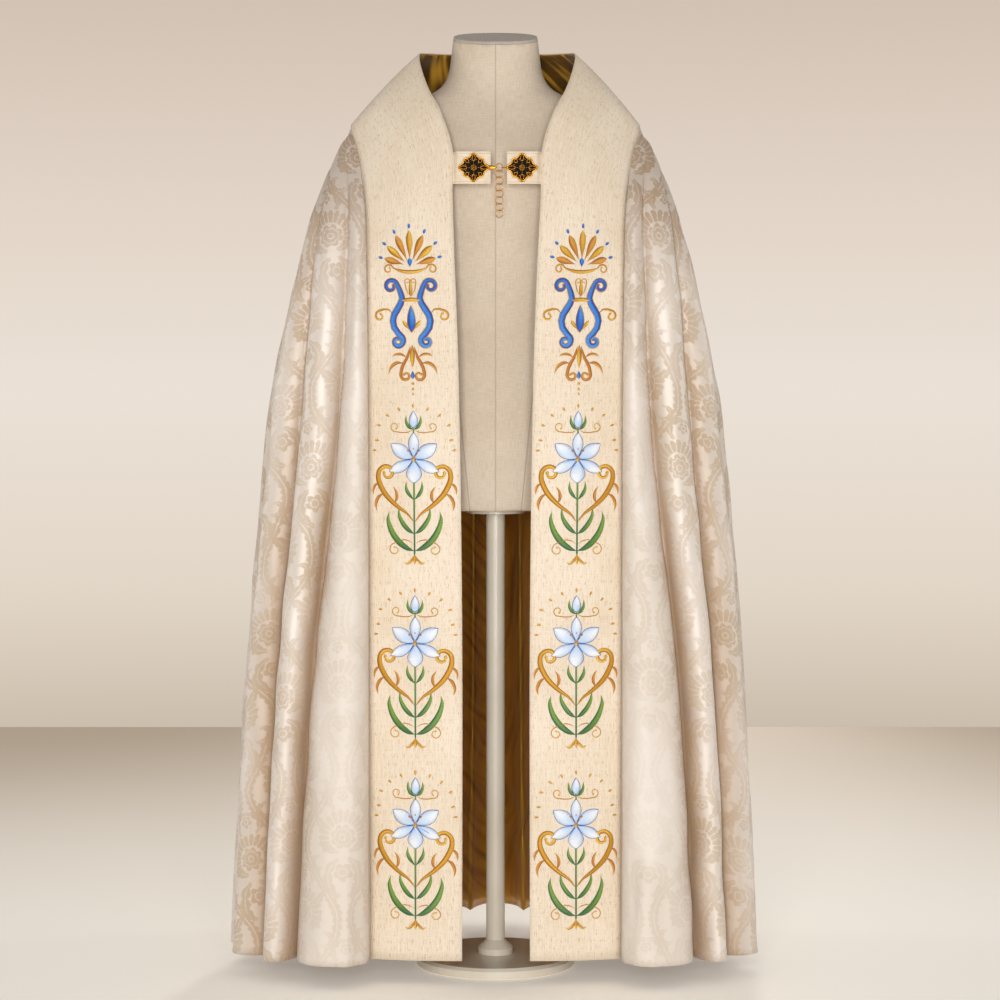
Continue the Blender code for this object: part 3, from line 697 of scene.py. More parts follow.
CREASES = (
    # side, share and z at the top, share and z at the foot, half width, height (- is a trough)
    ("both", 0.018, 1.330, 0.030, 1.020, 0.010, 0.0030),
    ("left", 0.090, 1.400, 0.085, 1.160, 0.011, -0.0035),
    ("right", 0.100, 1.395, 0.092, 1.190, 0.010, -0.0030),
    ("left", 0.030, 0.330, 0.020, 0.020, 0.016, -0.0070),
    ("left", 0.060, 0.260, 0.066, 0.020, 0.014, -0.0050),
    ("right", 0.026, 0.300, 0.016, 0.020, 0.015, -0.0065),
    ("right", 0.072, 0.230, 0.080, 0.020, 0.016, -0.0055),
    ("left", 0.172, 0.620, 0.180, 0.120, 0.012, -0.0035),
    ("right", 0.178, 0.560, 0.184, 0.060, 0.012, -0.0035),
    ("left", 0.235, 1.330, 0.246, 0.820, 0.012, -0.0040),
    ("right", 0.228, 1.300, 0.240, 0.760, 0.012, -0.0035),
    ("left", 0.345, 1.240, 0.338, 0.500, 0.014, -0.0045),
    ("right", 0.352, 1.280, 0.340, 0.640, 0.013, -0.0040),
    ("both", 0.430, 1.200, 0.425, 0.300, 0.013, -0.0040),
    ("left", 0.520, 1.340, 0.530, 0.760, 0.014, -0.0040),
    ("right", 0.535, 1.310, 0.524, 0.560, 0.015, -0.0045),
    ("both", 0.620, 0.900, 0.625, 0.120, 0.012, -0.0035),
    ("left", 0.712, 1.320, 0.700, 0.820, 0.014, -0.0040),
    ("right", 0.704, 1.330, 0.716, 0.620, 0.015, -0.0050),
    ("both", 0.806, 0.760, 0.812, 0.060, 0.013, -0.0040),
    ("left", 0.900, 1.300, 0.905, 0.700, 0.014, -0.0045),
    ("right", 0.893, 1.270, 0.886, 0.400, 0.014, -0.0040),
)


fine_stations = np.linspace(SHOULDER, HEM, 4000)


def section_curve(z):
    """The plan curve through the fold bottoms at height z, right side, seam to mid back."""
    at = float(np.interp(-z, [-row[0] for row in SECTIONS], range(len(SECTIONS))))
    _, half_width, widest_y, back_y = through(SECTIONS, at)
    seam = np.interp(-z, -band_lines(fine_stations)[1][:, 2], fine_stations)
    seam_x, seam_y = band_lines(seam)[1][:2]
    turn = np.linspace(0, math.pi / 2, 160)
    front = np.stack([
        seam_x + (half_width - seam_x) * np.sin(turn) ** FRONT_SQUARENESS,
        widest_y + (seam_y - widest_y) * np.cos(turn).clip(0) ** FRONT_SQUARENESS,
    ], axis=1)
    back = np.stack([
        half_width * np.cos(turn).clip(0) ** BACK_SQUARENESS,
        widest_y + (back_y - widest_y) * np.sin(turn),
    ], axis=1)
    return np.concatenate([front, back[1:]])


def fold_line(z, side):
    """Points of one side of the body at height z, how far round each is, and its painted light."""
    curve = section_curve(z)
    whole = runs(curve)[-1]
    curve = np.concatenate([curve, curve[-2:-22:-1] * [-1, 1]])
    run = runs(curve)
    drop = (SHOULDER_Z - z) / (SHOULDER_Z - HEM_Z)

    def on_curve(at):
        return np.stack([np.interp(at, run, curve[:, axis]) for axis in (0, 1)], axis=-1)

    at, out, painted_light = [], [], []
    start = 0.0
    for *shares, nudge, right, left, lean, height in FOLDS:
        end = float(through(shares, 3 * drop)) + (0 if side == "right" else nudge)
        reach = right if side == "right" else left
        grown = max(0.0, (height - z) / (height - HEM_Z)) ** FOLD_GROWTH
        parts = np.arange(BODY_COLUMNS) / BODY_COLUMNS
        if end > 1:
            parts = np.linspace(0, 0.5, BODY_COLUMNS // 2 + 1)
        spread = FOLD_SPREAD * grown * np.sin(2 * math.pi * parts)
        at.append(start + (end - start) * (parts - spread))
        nick = FOLD_NICK * grown * np.exp(-(parts * BODY_COLUMNS / 0.9) ** 2) * (start > 0)
        swell = np.sin(math.pi * parts**lean)
        # Painted light across the fold: palest past its top, with painted shade in its hollows.
        pale = np.sin(math.pi * parts**PAINTED_LIGHT_LEAN)
        if start == 0:
            swell = swell**PANEL_FLATNESS
            pale = np.clip((1 - parts) / PANEL_SHADE, 0, 1) * PANEL_PALE
        out.append(reach * grown * swell - nick)
        painted_light.append(1 - min(1.0, 1.4 * grown) * (1 - pale))
        start = end
    share, out, painted_light = np.concatenate(at), np.concatenate(out), np.concatenate(painted_light)
    way = unit(on_curve(share * whole + 0.004) - on_curve(share * whole - 0.004))
    outwards = np.stack([way[:, 1], -way[:, 0]], axis=-1)
    points = on_curve(share * whole) + out[:, None] * outwards
    return np.column_stack([points, np.full(len(points), z)]), share * whole, painted_light


def body_half(side):
    """Grid of one half of the body: the neck seam first, then each row down to the hem."""
    drops = np.linspace(0, 1, BODY_ROWS) ** ROW_CROWDING
    heights = SHOULDER_Z - (SHOULDER_Z - HEM_Z) * drops
    fine = np.linspace(SHOULDER, 0, 600)
    edge = runs(band_lines(fine)[1])
    count = (len(FOLDS) - 1) * BODY_COLUMNS + BODY_COLUMNS // 2 + 1
    neck = band_lines(np.interp(np.linspace(0, edge[-1], count), edge, fine))[1]
    lines = [fold_line(z, side) for z in heights[1:]]
    grid = np.array([neck] + [points for points, _, _ in lines])
    settle = np.clip((SHOULDER_Z - heights) / SEAM_SETTLES, 0, 1)[1:, None, None]
    level = neck[None] + (grid[1:] - grid[1:][:1]) * [1, 1, 0]
    level[..., 2] = grid[1:, :, 2] + (neck[None, :, 2] - SHOULDER_Z) * (1 - settle[..., 0])
    grid[1:] = grid[1:] * settle + level * (1 - settle)
    shares = np.array([lines[0][1]] + [share for _, share, _ in lines])
    shares = shares / shares[:, -1:]
    painted_lights = np.array([lines[0][2]] + [painted_light for _, _, painted_light in lines])
    grid[:, -1, 0] = 0
    return grid * [SIDES[side], 1, 1], shares, painted_lights


def grid_normals(grid):
    return unit(np.cross(np.gradient(grid, axis=1), np.gradient(grid, axis=0)))


def crease(grid, shares, side):
    """Presses the creases of one side into the cloth, and a slight unevenness all over."""
    normals = grid_normals(grid) * (-1 if side == "right" else 1)
    heights = grid[..., 2]
    whole = runs(grid)[:, -1:]
    lift = np.zeros(heights.shape)
    for which, top_share, top, foot_share, foot, half_width, height in CREASES:
        if which not in (side, "both"):
            continue
        down = (top - heights) / (top - foot)
        middle = top_share + (foot_share - top_share) * np.clip(down, 0, 1)
        fade = np.clip(1.15 - np.abs(2 * down - 1), 0, 0.4) / 0.4
        if foot < HEM_Z:
            fade = np.clip(down, 0, 0.6) / 0.6
        offset = (shares - middle) * whole / half_width
        lift += height * fade * fade * (3 - 2 * fade) * np.exp(-offset**2)
    phase = 0.0 if side == "left" else 2.1
    around = shares * whole
    lift += UNEVEN[0] * np.sin(around * 71 + 5 * np.sin(heights * 6 + phase) + phase)
    lift += UNEVEN[1] * np.sin(around * 43 - heights * 11 + 3 * np.sin(heights * 9 + phase))
    edges = np.clip(around / 0.03, 0, 1) * np.clip((SHOULDER_Z - heights) / 0.05, 0, 1)
    edges[:, -1] = edges[:, -1] * 0.5
    grid = grid + normals * (lift * edges)[..., None]
    grid[:, -1, 0] = 0
    return grid


def cut_flat(grid, sign):
    """Each point's place on the half-round cut: down the front edge and round to mid back."""
    around = runs(grid)
    radius = HALF_ROUND + SHOULDER_Z - grid[..., 2]
    turn = around / radius
    return np.stack([sign * radius * np.sin(turn), -radius * np.cos(turn)], axis=-1)


halves = []
for side, sign in SIDES.items():
    half, shares, painted_lights = body_half(side)
    half = crease(half, shares, side)
    halves.append((half, cut_flat(half, sign), painted_lights))
body_grid, body_flat, body_painted_light = [
    np.concatenate([left, right[:, -2::-1]], axis=1) for right, left in zip(*halves)
]

DAMASK_REPEAT = (0.26, 0.40)  # of the pattern as drawn
DAMASK_SCALE = 0.62  # at which the loom weaves it
DAMASK_SOFT = 0.0020  # how far the edge of the figure blends into the ground
DAMASK_BEND = 0.016  # how far the pattern strays
DAMASK_RAGGED = 0.0045  # how far its edges do
PUCKERS = (30, 30, 5)  # to a metre, x, y and z


def damask_pattern(across, along):
    """1 in the damask's figure and 0 on its ground: a leafy strap, blossoms, fans and leaves."""
    wide, tall = DAMASK_REPEAT
    first = (across % wide - wide / 2, along % tall - tall / 2)
    second = ((across + wide / 2) % wide - wide / 2, (along + tall / 2) % tall - tall / 2)
    far = abs(first[0]) / wide + abs(first[1]) / tall
    nearer = far.maths("LESS_THAN", far, 0.5)
    x = abs(first[0] * nearer + second[0] * (1 - nearer))
    y = first[1] * nearer + second[1] * (1 - nearer)

    def polar(cx, cy):
        dx, dy = x - cx, y - cy
        return (dx * dx + dy * dy) ** 0.5, dy.maths("ARCTAN2", dy, dx)

    def wave(angle, count, turn=0.0):
        return abs((angle * (count / 2) + turn).cosine())

    def within(depth):
        return depth.step(-DAMASK_SOFT, DAMASK_SOFT)

    def beside_line(distance):
        """Cuts a thin line of ground through the figure."""
        return distance.step(0.0002, 0.0024)

    def rosette(cx, cy, size, count, depth, turn=0.0):
        """A round blossom of petals with a ring cut through it."""
        radius, angle = polar(cx, cy)
        edge = wave(angle, count, turn)
        shape = within((edge * depth + (1 - depth)) * size - radius)
        return shape * beside_line(abs(radius - size * 0.42))

    def frond(cx, cy, bow, begin, end, width, lobes):
        """A lobed leaf along an arc: bow is its radius, begin and end its angles."""
        radius, angle = polar(cx, cy)
        part = (angle - begin) / (end - begin)
        inside = part * (1 - part) * 4
        lobe = wave(part, lobes * 2 * math.pi)
        reach = inside.greater(0.0) ** 0.6 * (lobe * 0.45 + 0.55) * width
        off = abs(radius - bow)
        return within(reach - off) * (beside_line(off) * 0.7 + 0.3)

    swing = (y * (2 * math.pi / tall)).cosine()
    beside = abs(x - (swing * 0.72 + 1) * (wide / 4)) * 0.80
    scallop = wave(y, 44 / tall * math.pi)
    strap = within(0.0070 + scallop * 0.0050 - beside) * beside_line(beside)

    radius, angle = polar(0.0, 0.024)
    petal = wave(angle, 8, math.pi / 2)
    bloom = within((petal * 0.28 + 0.72) * 0.034 - radius)
    bloom = bloom * beside_line(abs(radius - 0.019 - petal * 0.004))
    bloom = bloom * beside_line(abs(radius - 0.0080))
    feather = wave(angle, 22)
    fan = within(0.060 + feather * 0.011 - radius) * within(radius - 0.038)
    fan = fan * feather.step(0.10, 0.44) * within(y + x * 0.45 - 0.004)
    shapes = [
        strap, bloom, fan,
        frond(-0.012, -0.088, 0.054, -1.20, 1.15, 0.0160, 4),
        frond(0.100, 0.034, 0.046, 1.35, 3.10, 0.0130, 3),
        frond(0.010, 0.120, 0.028, -1.2, 2.0, 0.0110, 3),
        frond(0.074, -0.046, 0.018, -2.6, 1.9, 0.0085, 4),
        frond(0.000, 0.050, 0.070, -1.40, -0.42, 0.0120, 3),
        frond(0.058, 0.098, 0.030, -1.6, 0.9, 0.0090, 3),
        frond(0.052, -0.150, 0.034, 0.9, 3.0, 0.0100, 3),
        rosette(0.0, -0.076, 0.026, 5, 0.36, 0.785),
        rosette(0.0, 0.127, 0.016, 5, 0.34, 0.785),
    ]
    figure = shapes[0]
    for shape in shapes[1:]:
        figure = figure.greater(shape)
    return figure


def damask_finish():
    made, shader, start = new_finish("ivory_damask", Sheen_Weight=0.25, Sheen_Roughness=0.35)
    across, along = start.map_place("cut")
    wobble = start.noise(start.vector(across * 14, along * 14), 1.0, 1.0, 1)
    shift_across, shift_along, _ = wobble.split()
    ragged = grain(across, along, 260, 260) - 0.5
    bent_across = across + (shift_across - 0.5) * DAMASK_BEND + ragged * DAMASK_RAGGED
    bent_along = along + (shift_along - 0.5) * DAMASK_BEND - ragged * DAMASK_RAGGED
    figure = damask_pattern(bent_across / DAMASK_SCALE, bent_along / DAMASK_SCALE)
    threads = grain(across, along, 1500, 60)
    cloudy = grain(across, along, 7, 4, 2.0).step(0.35, 0.65)
    place = start.object_place()
    drawn_out = start.node("ShaderNodeVectorMath", {"operation": "MULTIPLY"}, {0: place, 1: PUCKERS})
    puckers = start.noise(drawn_out, 1.0, 1.5)
    # Painted light and shade of the folds, read from the mesh; the palest panel shows its figure
    # faintly.
    painted_light = start.node("ShaderNodeAttribute", {"attribute_name": "painted_light"}, (), 2)
    calm = painted_light.step(1.0, PANEL_PALE)
    figure = figure * (1 - calm * 0.60)
    # Painted shade towards the shoulder: the ground darkens a little, the figure more.
    shoulder = place.split()[2].step(*SHOULDER_SHADE)
    ground = start.mix(cloudy, srgb(233, 224, 215), srgb(226, 215, 203))
    ground = start.mix(shoulder * 0.30, ground, srgb(166, 134, 104))
    dull = start.mix(cloudy, srgb(209, 190, 168), srgb(200, 180, 156))
    dull = start.mix(shoulder, dull, srgb(178, 154, 130))
    # Painted light fades the figure below the shoulder; the fold hollows take a painted tan shade.
    lit = painted_light.step(-0.25, 0.95)
    share = figure * (cloudy * 0.50 + 0.75 - lit * (1 - shoulder) * 0.40)
    colour = start.mix(share, ground, dull)
    colour = start.mix(lit, srgb(166, 134, 100), colour)
    roughness = figure * 0.14 + calm * 0.10 + 0.52 + threads * 0.08
    metallic = (1 - figure) * (0.20 - calm * 0.14) + 0.04
    wire_up(shader, start, Base_Color=colour, Roughness=roughness, Metallic=metallic,
            Normal=start.bump(threads * 0.04 + puckers, 0.005, 0.5))
    return made


body = shell("damask_body", body_grid, body_flat, (damask_finish(), GOLD_SATIN), painted_light=body_painted_light)
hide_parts("body")
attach(body, "root")


# Lining of the standing collar: dark gold satin on the backs of both orphreys.
LINING_END = 8.4  # row of the orphrey's table at which it ends, on both sides
LINING_ROWS = 181
LINING_DEPTH = 0.0006
LINING_GAP = 0.0016  # from the back of the orphreys to its face
LINING_CUT = 0.156  # width of an orphrey as the lining's pattern counts it
COLLAR_SATIN = satin_finish("collar_satin", srgb(84, 50, 6), srgb(246, 186, 60), highlight_spread=0.18)
shares = np.linspace(0.012, 0.75, 15)
stations = np.linspace(-LINING_END, LINING_END, LINING_ROWS)[:, None]
ripple = np.sin(stations * 5.3) * 0.0006 + np.sin(stations * 3.1 + shares * 9) * 0.0010
behind = ripple - (CLOTH + LINING_GAP)
grid = band_point(stations, np.tile(shares, (LINING_ROWS, 1)), behind)
middle_run = runs(grid[:, len(shares) // 2])[:, None]
flat = np.stack(np.broadcast_arrays(shares * LINING_CUT, -middle_run), axis=-1)
lining = shell("collar_satin", grid, flat, (COLLAR_SATIN,), LINING_DEPTH)
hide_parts("collar_lining")
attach(lining, "root")


# Tabs: two flat strips of the orphrey linen. Each comes out from behind a front edge and
# carries one plate of the clasp. They are turned in and stitched round their edges.
CLASP_Z = 1.3480
TAB_HEIGHT = 0.053
TAB_DEPTH = 0.0016
TAB_Y = -0.1500
TAB_TUCK = 0.07  # how far it reaches behind the orphrey, as a share of its width
TAB_BEND = 0.006  # from the orphrey's edge to where the tab lies flat
TAB_END_X = {"right": 0.0188, "left": -0.0078}
TAB_ROWS = 12
TAB_COLUMNS = 26
TAB_EDGE = 0.0004  # rounding of its folded edges
STITCH_INSET = 0.0030
STITCH_LENGTH = 0.0030


def stitched_finish(name, half_height, light, dark, thread):
    """Plain linen with a row of stitches inside its long edges."""
    made, shader, start = new_finish(name, Roughness=0.85, Sheen_Weight=0.15, Sheen_Roughness=0.5)
    across, along = start.map_place("cut")
    streaks = grain(across, along, 420, 40, 2.0)
    cloudy = grain(across, along, 60, 60, 2.0)
    groove = 1 - abs(abs(across) - (half_height - STITCH_INSET)).step(0.0003, 0.0008)
    stitch = groove * abs((along % STITCH_LENGTH) - STITCH_LENGTH / 2).step(0.0001, 0.0006)
    colour = start.mix((streaks * 0.5 + cloudy * 0.5).step(0.36, 0.64), dark, light)
    colour = start.mix(stitch * 0.6, colour, thread)
    height = weave_of(across, along) * 0.4 + streaks * 0.5 - groove * 1.4 + stitch * 0.9
    wire_up(shader, start, Base_Color=colour, Normal=start.bump(height, 0.0005, 0.5))
    return made


TAB_LINEN = stitched_finish("tab_linen", TAB_HEIGHT / 2, light=srgb(240, 225, 203),
                            dark=srgb(226, 207, 180), thread=srgb(190, 160, 118))
for side, sign in SIDES.items():
    heights = np.linspace(CLASP_Z + TAB_HEIGHT / 2, CLASP_Z - TAB_HEIGHT / 2, TAB_ROWS + 1)
    edge_heights = band_lines(fine_stations)[0][:, 2]
    grid = []
    for z in heights:
        station = sign * float(np.interp(-z, -edge_heights, fine_stations))
        behind = -(CLOTH + SEAM_GAP)
        hidden, edge = band_point(np.full(2, station), np.array([TAB_TUCK, 0.0]), np.full(2, behind))
        hidden[2] = edge[2] = z
        bend = np.array([edge[0] - sign * TAB_BEND, TAB_Y, z])
        end = np.array([TAB_END_X[side], TAB_Y, z])
        row = np.array([hidden, edge, bend, end])
        run = runs(row)
        fine = np.linspace(0, run[-1], TAB_COLUMNS + 1)
        grid.append(np.stack([np.interp(fine, run, row[:, axis]) for axis in range(3)], axis=-1))
    grid = np.array(grid)
    flat = np.stack(np.broadcast_arrays((heights - CLASP_Z)[:, None], runs(grid)), axis=-1)
    if sign > 0:
        grid, flat = grid[:, ::-1], flat[:, ::-1]
    tab = shell("linen_tab_" + side, grid[::-1], flat[::-1], (TAB_LINEN,), TAB_DEPTH)
    soften = tab.modifiers.new("soft_edge", "BEVEL")
    soften.width = TAB_EDGE
    soften.segments = 2
    soften.limit_method = "ANGLE"
    soften.angle_limit = math.radians(50)
    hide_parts("tab_" + side)
    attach(tab, "root")


# Clasp: two cast plates, worked as gold wire on a blackened ground, and sewn to the tabs. The
# hook of the left plate holds the first ring of the chain, which the loop of the right carries.
PLATE_X = {"right": 0.0436, "left": -0.0358}
PLATE_WIDTH = 0.053
PLATE_HEIGHT = 0.049
PLATE_BACK = TAB_Y - SEAM_GAP
PLATE_DEPTH = 0.0022
GROUND_DEPTH = 0.0010
GROUND_SHARE = 0.93  # of the plate's outline
RIM_SHARE = 0.935
PLATE_POINTS = 144
RIM_WIRE = 0.0012
RIM_BEADS = 36
LEAF_WIRE = 0.0006
SCROLL_WIRE = 0.0005
HOOK_WIRE = (0.0011, 0.0010, 0.0007)  # at its root, its neck and its bend
HOOK_TALLER = (3.4, 3.8, 3.0, 1.2)  # along the hook's neck, as a share of its thickness
HOOK_BEND = 0.0019  # radius of the hook's bend, round the first ring's wire
LOOP_RADIUS = 0.0036
RING_WIRE = 0.0007
RING_RADIUS = 0.00625
RING_COUNT = 8
RING_X = 0.0063
RING_Y = -0.1531
RING_TWIST = math.radians(20)  # of each ring, one way and then the other
RING_PITCH = 2 * RING_RADIUS - 2 * RING_WIRE - SEAM_GAP


def plate_outline(share, y):
    """Four pointed leaves with a round lobe in each corner between them, about the middle."""
    turn = np.linspace(0, 2 * math.pi, PLATE_POINTS + 1)
    tip = np.maximum(np.abs(np.cos(turn)), np.abs(np.sin(turn))) ** 14
    lobe = np.abs(np.sin(2 * turn)) ** 4
    reach = (0.555 + 0.445 * tip + 0.285 * lobe) * share
    x = reach * np.cos(turn) * PLATE_WIDTH / 2
    z = reach * np.sin(turn) * PLATE_HEIGHT / 2
    outline = np.column_stack([x, np.full(len(turn), y), z])
    outline[-1] = outline[0]
    return outline


def wire(mesh, route, thick, flat=(0, 1, 0), sides=8, taller=1.0):
    """Adds a wire along a route, as thick as given, and taller across the route's plane.

    It is joined up if it ends where it starts, or else its ends are closed.
    """
    route = np.array(route, float)
    thick = np.broadcast_to(thick, len(route)).copy()
    tall = thick * taller
    ways = np.gradient(route, axis=0)
    if np.linalg.norm(route[0] - route[-1]) < 1e-7:
        ways[0] = ways[-1] = route[1] - route[-2]
    else:
        thick[[0, -1]] = tall[[0, -1]] = 1e-7
    out = unit(np.cross(ways, flat))
    second = unit(np.cross(out, ways))
    spots = make_grid(mesh, len(route), sides + 1)
    for vert, (row, column) in spots.items():
        turn = 2 * math.pi * column / sides
        aside = thick[row] * math.cos(turn) * out[row] + tall[row] * math.sin(turn) * second[row]
        vert.co = route[row] + aside
    bmesh.ops.remove_doubles(mesh, verts=list(spots), dist=1e-6)


def closed_ring(centre, radius, second=(0, 0, 1), first=(1, 0, 0), points=32):
    """Points of a round ring, in the plane of its first and second directions."""
    turn = np.linspace(0, 2 * math.pi, points + 1)[:, None]
    ring = centre + radius * (np.cos(turn) * first + np.sin(turn) * second)
    ring[-1] = ring[0]
    return ring


def ball(mesh, centre, radius):
    made = bmesh.ops.create_icosphere(mesh, subdivisions=2, radius=radius)
    bmesh.ops.translate(mesh, vec=centre, verts=made["verts"])


def make_metal(name, mesh, finish):
    """Turns a mesh into a smooth metal piece."""
    bmesh.ops.recalc_face_normals(mesh, faces=mesh.faces)
    made = make_piece(name, mesh, finish)
    return made


def gold_finish(name, low_y, high_y, low, high):
    """Antique gold: bright where proud, brown towards the back: polish in hollows, and painted shade."""
    made, shader, start = new_finish(name, Metallic=1.0)
    place = start.object_place()
    depth = place.split()[1]
    worn = start.noise(place, 700.0, 2.0)
    fine = start.noise(place, 2600.0, 2.0)
    bright = ((low_y - depth) / (low_y - high_y) + (worn - 0.5) * 0.7).step(0.25, 0.90)
    colour = start.mix(bright, low, high)
    wire_up(shader, start, Base_Color=colour, Roughness=0.44 - bright * 0.16 + fine * 0.08,
            Normal=start.bump(worn + fine * 0.5, 0.0001, 0.5))
    return made


def ground_finish():
    """Blackened ground between the wires, with a little gold left in its grain."""
    made, shader, start = new_finish("blackened_ground", Specular_IOR_Level=0.15)
    specks = start.noise(start.object_place(), 900.0, 3.0)
    colour = start.mix(specks.step(0.60, 0.78), srgb(14, 7, 3), srgb(84, 50, 14))
    wire_up(shader, start, Base_Color=colour, Roughness=specks * 0.3 + 0.55,
            Normal=start.bump(specks, 0.0001, 0.4))
    return made


def plate_ground(centre):
    """The blackened plate behind the wires, as a mesh about a point of the tab's face."""
    mesh = bmesh.new()
    made = bmesh.ops.create_circle(mesh, cap_ends=True, segments=PLATE_POINTS, radius=1)
    outline = centre + plate_outline(GROUND_SHARE, PLATE_BACK - GROUND_DEPTH)
    for vert in made["verts"]:
        turn = math.atan2(vert.co.y, vert.co.x) % (2 * math.pi)
        vert.co = outline[round(turn / (2 * math.pi) * PLATE_POINTS) % PLATE_POINTS]
    drawn = bmesh.ops.extrude_face_region(mesh, geom=list(mesh.faces))
    walls = [item for item in drawn["geom"] if isinstance(item, bmesh.types.BMVert)]
    bmesh.ops.translate(mesh, vec=(0, GROUND_DEPTH, 0), verts=walls)
    return mesh


def plate_wires(centre, wire_y):
    """The beaded rim, the four leaves and the lobes of a plate, and the rosette in its middle.

    Spots are in millimetres, out from the middle of the plate along a leaf and beside it.
    """
    mesh = bmesh.new()
    middle = centre + [0, wire_y, 0]
    beads = np.cos(np.linspace(0, 2 * math.pi * RIM_BEADS, PLATE_POINTS + 1))
    wire(mesh, centre + plate_outline(RIM_SHARE, wire_y), RIM_WIRE * (1 + 0.10 * beads))
    for quarter in range(4):
        turn = quarter * math.pi / 2
        along = np.array([math.cos(turn), 0, math.sin(turn)]) * MILLIMETRE
        across = np.array([-math.sin(turn), 0, math.cos(turn)]) * MILLIMETRE
        tip = (PLATE_WIDTH if quarter % 2 == 0 else PLATE_HEIGHT) / 2 / MILLIMETRE

        def spot(out, beside=0.0, lift=0.0):
            return middle + along * out + across * beside - [0, lift * MILLIMETRE, 0]

        share = np.linspace(0, 1, 25)
        leaf_half = 2.7 * np.sin(math.pi * share**0.9)
        leaf_out = 10.6 + (tip - 13.2) * share
        loop = [spot(out, half) for out, half in zip(leaf_out, leaf_half)]
        loop += [spot(out, -half) for out, half in zip(leaf_out[::-1], leaf_half[::-1])][1:]
        loop[-1] = loop[0]
        wire(mesh, loop, LEAF_WIRE)
        wire(mesh, [spot(5.0), spot(7.5), spot(10.8)], LEAF_WIRE * np.array([0.8, 1.2, 0.8]))
        ball(mesh, spot(tip - 2.4, 0.0, 0.1), 0.0021)
        for mirror in (1, -1):
            curl = [(10.4, mirror * 1.2), (11.8, mirror * 2.9), (13.4, mirror * 4.6)]
            ball(mesh, spot(*curl[-1], 0.1), 0.0010)
            wire(mesh, [spot(*place) for place in curl], SCROLL_WIRE)
        wire(mesh, closed_ring(spot(10.6, 10.6), 0.0027, points=24), LEAF_WIRE)
        ball(mesh, spot(7.6, 7.6), 0.0009)
    wire(mesh, closed_ring(middle, 0.0043, points=28), SCROLL_WIRE)
    for petal in closed_ring(middle - [0, 0.0001, 0], 0.0026, points=8)[:-1]:
        ball(mesh, petal, 0.0009)
    ball(mesh, middle - [0, 0.0002, 0], 0.0013)
    return mesh


PLATE_GOLD = gold_finish("antique_gold", PLATE_BACK - 0.0004, PLATE_BACK - PLATE_DEPTH,
                         srgb(74, 38, 6), srgb(222, 156, 50))
RING_GOLD = gold_finish("ring_gold", RING_Y + 0.006, RING_Y - 0.001,
                        srgb(140, 84, 16), srgb(226, 166, 58))
BLACKENED = ground_finish()
for side in SIDES:
    centre = np.array([PLATE_X[side], 0, CLASP_Z])
    ground_plate = make_metal("clasp_ground_" + side, plate_ground(centre), BLACKENED)
    ground_plate.modifiers.new("flat_faces", "WEIGHTED_NORMAL").keep_sharp = False
    work = plate_wires(centre, PLATE_BACK - PLATE_DEPTH + RIM_WIRE)

    join_y = PLATE_BACK - PLATE_DEPTH / 2
    if side == "left":
        tip = PLATE_X["left"] + PLATE_WIDTH / 2
        x = RING_X - RING_RADIUS * math.cos(RING_TWIST)
        y = RING_Y - RING_RADIUS * math.sin(RING_TWIST)
        turns = np.linspace(math.pi / 2, -math.pi / 2, 13)
        route = [(tip - 0.003, join_y), (tip - 0.001, join_y), (tip + 0.001, join_y - 0.0002)]
        route += [(x - 0.0035, y + HOOK_BEND - 0.0001)]
        route += [(x + HOOK_BEND * math.cos(turn), y + HOOK_BEND * math.sin(turn)) for turn in turns]
        route += [(x - 0.0015, y - HOOK_BEND), (x - 0.003, y - HOOK_BEND)]
        steps = range(len(route))
        thick = np.interp(steps, (0, 2, 5), HOOK_WIRE)
        taller = np.interp(steps, (0, 2, 3, 5), HOOK_TALLER)
        wire(work, [(*place, CLASP_Z) for place in route], thick, (0, 0, 1), 12, taller)
    else:
        eye_x = PLATE_X["right"] - PLATE_WIDTH / 2 - LOOP_RADIUS + 0.0006
        loop = closed_ring((eye_x, join_y + 0.0004, CLASP_Z), LOOP_RADIUS, (0, 1, 0))
        wire(work, loop, RING_WIRE, (0, 0, 1))
    filigree = make_metal("clasp_wirework_" + side, work, PLATE_GOLD)
    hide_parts("clasp_" + side)
    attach(filigree, "root")
    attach(ground_plate, "root")

for index in range(RING_COUNT):
    twist = RING_TWIST * (1 if index % 2 == 0 else -1)
    mesh = bmesh.new()
    middle = (RING_X, RING_Y, CLASP_Z - index * RING_PITCH)
    across = (math.cos(twist), math.sin(twist), 0)
    round_ring = closed_ring(middle, RING_RADIUS, first=across, points=36)
    wire(mesh, round_ring, RING_WIRE, (-across[1], across[0], 0), 10)
    ring = make_metal(f"gold_ring_{index + 1}", mesh, RING_GOLD)
    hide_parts(f"ring_{index + 1}")
    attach(ring, "root" if index == 0 else f"chain_ring_{index + 1}")


# Dress form: a padded torso under tight linen, seamed down its middle and over its bust, with
# a flat linen covered cap on the neck. It stands on a painted steel pole and round foot.
def form_finish(name, light, dark, seams):
    """Close plain linen. Seams run down the middle and down each side of the front."""
    made, shader, start = new_finish(name, Roughness=0.9, Sheen_Weight=0.1, Sheen_Roughness=0.5)
    place = start.object_place()
    across, _, up = place.split()
    warp = grain(across, up, 900, 60, 2.0)
    weft = grain(across, up, 60, 900, 2.0)
    cloudy = start.noise(place, 8.0, 3.0)
    tone = warp * 0.35 + weft * 0.35 + cloudy * 0.3
    colour = start.mix(tone.step(0.38, 0.62), dark, light)
    height = warp + weft
    if seams:
        beside = abs(abs(across) - ((up - 1.1) * 0.10 + 0.075))
        nearest = start.maths("MINIMUM", beside, abs(across))
        groove = 1 - nearest.step(0.0004, 0.0016)
        colour = start.mix(groove * 0.55, colour, srgb(176, 156, 132))
        height = height - groove * 2
    wire_up(shader, start, Base_Color=colour, Normal=start.bump(height, 0.0005, 0.5))
    return made


